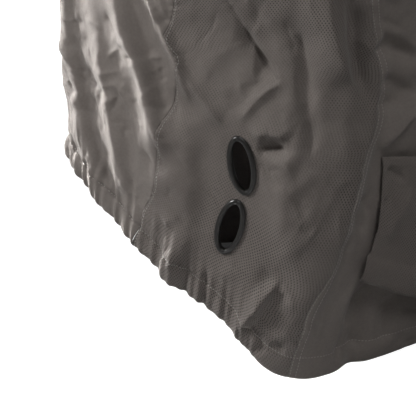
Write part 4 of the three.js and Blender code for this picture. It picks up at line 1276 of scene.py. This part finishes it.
def build_surroundings(stage):
    """An even fill from all round, and the view's plain tones."""
    world = bpy.data.worlds.new("studio")
    world.use_nodes = True
    back = world.node_tree.nodes["Background"]
    back.inputs["Color"].default_value = FILL_COLOR
    back.inputs["Strength"].default_value = stage.fill
    bpy.context.scene.world = world
    bpy.context.scene.view_settings.view_transform = "Standard"


# Settings, operators and panel

def length_setting(name, description, default, **limits):
    """A length that a user can change."""
    return FloatProperty(name=name, description=description, default=default, unit="LENGTH", **limits)


def angle_setting(name, description, degrees):
    """An angle that a user can change."""
    return FloatProperty(name=name, description=description, default=math.radians(degrees), subtype="ANGLE")


def color_setting(name, description, default):
    """A colour that a user can change."""
    return FloatVectorProperty(name=name, description=description, default=default, subtype="COLOR")


class ClothSettings(bpy.types.PropertyGroup):
    """Thickness, colours and weave of the cloth"""
    thickness: length_setting("Thickness", "Thickness of the shown sheet", 0.001, min=0.0003)
    plain_color: color_setting("Plain cloth", "Colour of the plain panels", (0.166, 0.145, 0.131))
    diamond_color: color_setting("Diamond cloth", "Colour of the figured panels", (0.15, 0.13, 0.117))
    thread_pitch: length_setting("Thread pitch", "Width of two threads of the weave", 0.0011)
    diamond_width: length_setting("Diamond width", "Width of one diamond of the figured weave", 0.0034)
    diamond_height: length_setting("Diamond height", "Height of one diamond of the figured weave", 0.0042)
    # How dark the sunk dots are: partly the weave's figure, partly painted shade in their pits
    diamond_shade: FloatProperty(
        name="Diamond shade", description="How dark the sunk dots are",
        default=0.7, max=1.0, subtype="FACTOR")


class StitchSettings(bpy.types.PropertyGroup):
    """Sewing thread"""
    pitch: length_setting("Pitch", "From stitch to stitch", 0.0036)
    length: length_setting("Length", "Length of one stitch", 0.0026)
    thread: length_setting("Thread", "Thickness of the thread", 0.0008)
    color: color_setting("Colour", "Colour of the thread", (0.3, 0.28, 0.26))


class EyeletSettings(bpy.types.PropertyGroup):
    """Moulded eyelets"""
    color: color_setting("Colour", "Colour of the plastic", (0.012, 0.011, 0.01))


class StageSettings(bpy.types.PropertyGroup):
    """Camera, fill and floor"""
    azimuth: angle_setting("Azimuth", "Where the camera stands round the cover", -32)
    elevation: angle_setting("Elevation", "Height of the camera over the horizon", 20)
    distance: length_setting("Distance", "From the camera to its target", 2.6)
    lens: FloatProperty(name="Lens", description="Focal length of the camera", default=225.0, unit="CAMERA")
    target: FloatVectorProperty(
        name="Target", description="What the camera looks at",
        default=(-0.978, -0.138, 0.194), unit="LENGTH")
    fill: FloatProperty(name="Fill", description="Brightness of the surroundings", default=0.09, min=0.0)
    floor_size: length_setting("Floor", "Reach of the floor", 60.0)


class CoverSettings(bpy.types.PropertyGroup):
    """All settings of the motorcycle cover"""
    cloth: PointerProperty(type=ClothSettings, name="Cloth", description="Cloth of all panels")
    stitch: PointerProperty(type=StitchSettings, name="Stitching", description="Sewing thread")
    eyelet: PointerProperty(type=EyeletSettings, name="Eyelets", description="Moulded eyelets")
    stage: PointerProperty(type=StageSettings, name="Stage", description="Camera, light and floor")


class COVER_OT_eyelets(bpy.types.Operator):
    """Builds both moulded eyelets"""
    bl_idname = "cover.eyelets"
    bl_label = "Eyelets"

    def execute(self, context):
        for seat in EYELET_SEATS:
            build_eyelet(seat, context.scene.motorcycle_cover)
        return {"FINISHED"}


class COVER_OT_panels(bpy.types.Operator):
    """Builds the sewn panels that hang round the cover"""
    bl_idname = "cover.panels"
    bl_label = "Panels"

    def execute(self, context):
        for panel in PANELS:
            build_panel(panel, context.scene.motorcycle_cover)
        return {"FINISHED"}


class COVER_OT_crown(bpy.types.Operator):
    """Builds the panel along the top of the cover"""
    bl_idname = "cover.crown"
    bl_label = "Crown"

    def execute(self, context):
        build_crown(context.scene.motorcycle_cover)
        return {"FINISHED"}


class COVER_OT_flap(bpy.types.Operator):
    """Builds the flap on the left side"""
    bl_idname = "cover.flap"
    bl_label = "Flap"

    def execute(self, context):
        build_flap(context.scene.motorcycle_cover)
        return {"FINISHED"}


class COVER_OT_stitching(bpy.types.Operator):
    """Sews the stitch rows of the seams and the hem"""
    bl_idname = "cover.stitching"
    bl_label = "Stitching"

    def execute(self, context):
        build_stitching(context.scene.motorcycle_cover)
        return {"FINISHED"}


class COVER_OT_stage(bpy.types.Operator):
    """Sets up the floor, the lights and the camera"""
    bl_idname = "cover.stage"
    bl_label = "Stage"

    def execute(self, context):
        stage = context.scene.motorcycle_cover.stage
        build_camera(stage)
        build_floor(stage)
        build_surroundings(stage)
        for row in LIGHTS:
            build_light(row, stage)
        return {"FINISHED"}


OPERATORS = (
    COVER_OT_eyelets, COVER_OT_panels, COVER_OT_crown, COVER_OT_flap, COVER_OT_stitching, COVER_OT_stage,
)


class COVER_PT_sidebar(bpy.types.Panel):
    """Settings and steps of the motorcycle cover"""
    bl_idname = "COVER_PT_sidebar"
    bl_label = "Motorcycle Cover"
    bl_space_type = "VIEW_3D"
    bl_region_type = "UI"
    bl_category = "Cover"

    def draw(self, context):
        settings = context.scene.motorcycle_cover
        for group in (settings.cloth, settings.stitch, settings.eyelet, settings.stage):
            column = self.layout.box().column()
            for name in type(group).__annotations__:
                column.prop(group, name)
        for operator in OPERATORS:
            self.layout.operator(operator.bl_idname)


CLASSES = (
    ClothSettings, StitchSettings, EyeletSettings, StageSettings, CoverSettings,
    *OPERATORS, COVER_PT_sidebar,
)


def register():
    """Makes the settings, steps and panel known to the program."""
    for cls in CLASSES:
        bpy.utils.register_class(cls)
    bpy.types.Scene.motorcycle_cover = PointerProperty(type=CoverSettings)


def unregister():
    """Takes them out again."""
    del bpy.types.Scene.motorcycle_cover
    for cls in reversed(CLASSES):
        bpy.utils.unregister_class(cls)


def main():
    """Builds the cover and its stage in order."""
    register()
    bpy.ops.cover.eyelets()
    bpy.ops.cover.panels()
    bpy.ops.cover.crown()
    bpy.ops.cover.flap()
    bpy.ops.cover.stitching()
    bpy.ops.cover.stage()


if __name__ == "__main__":
    main()
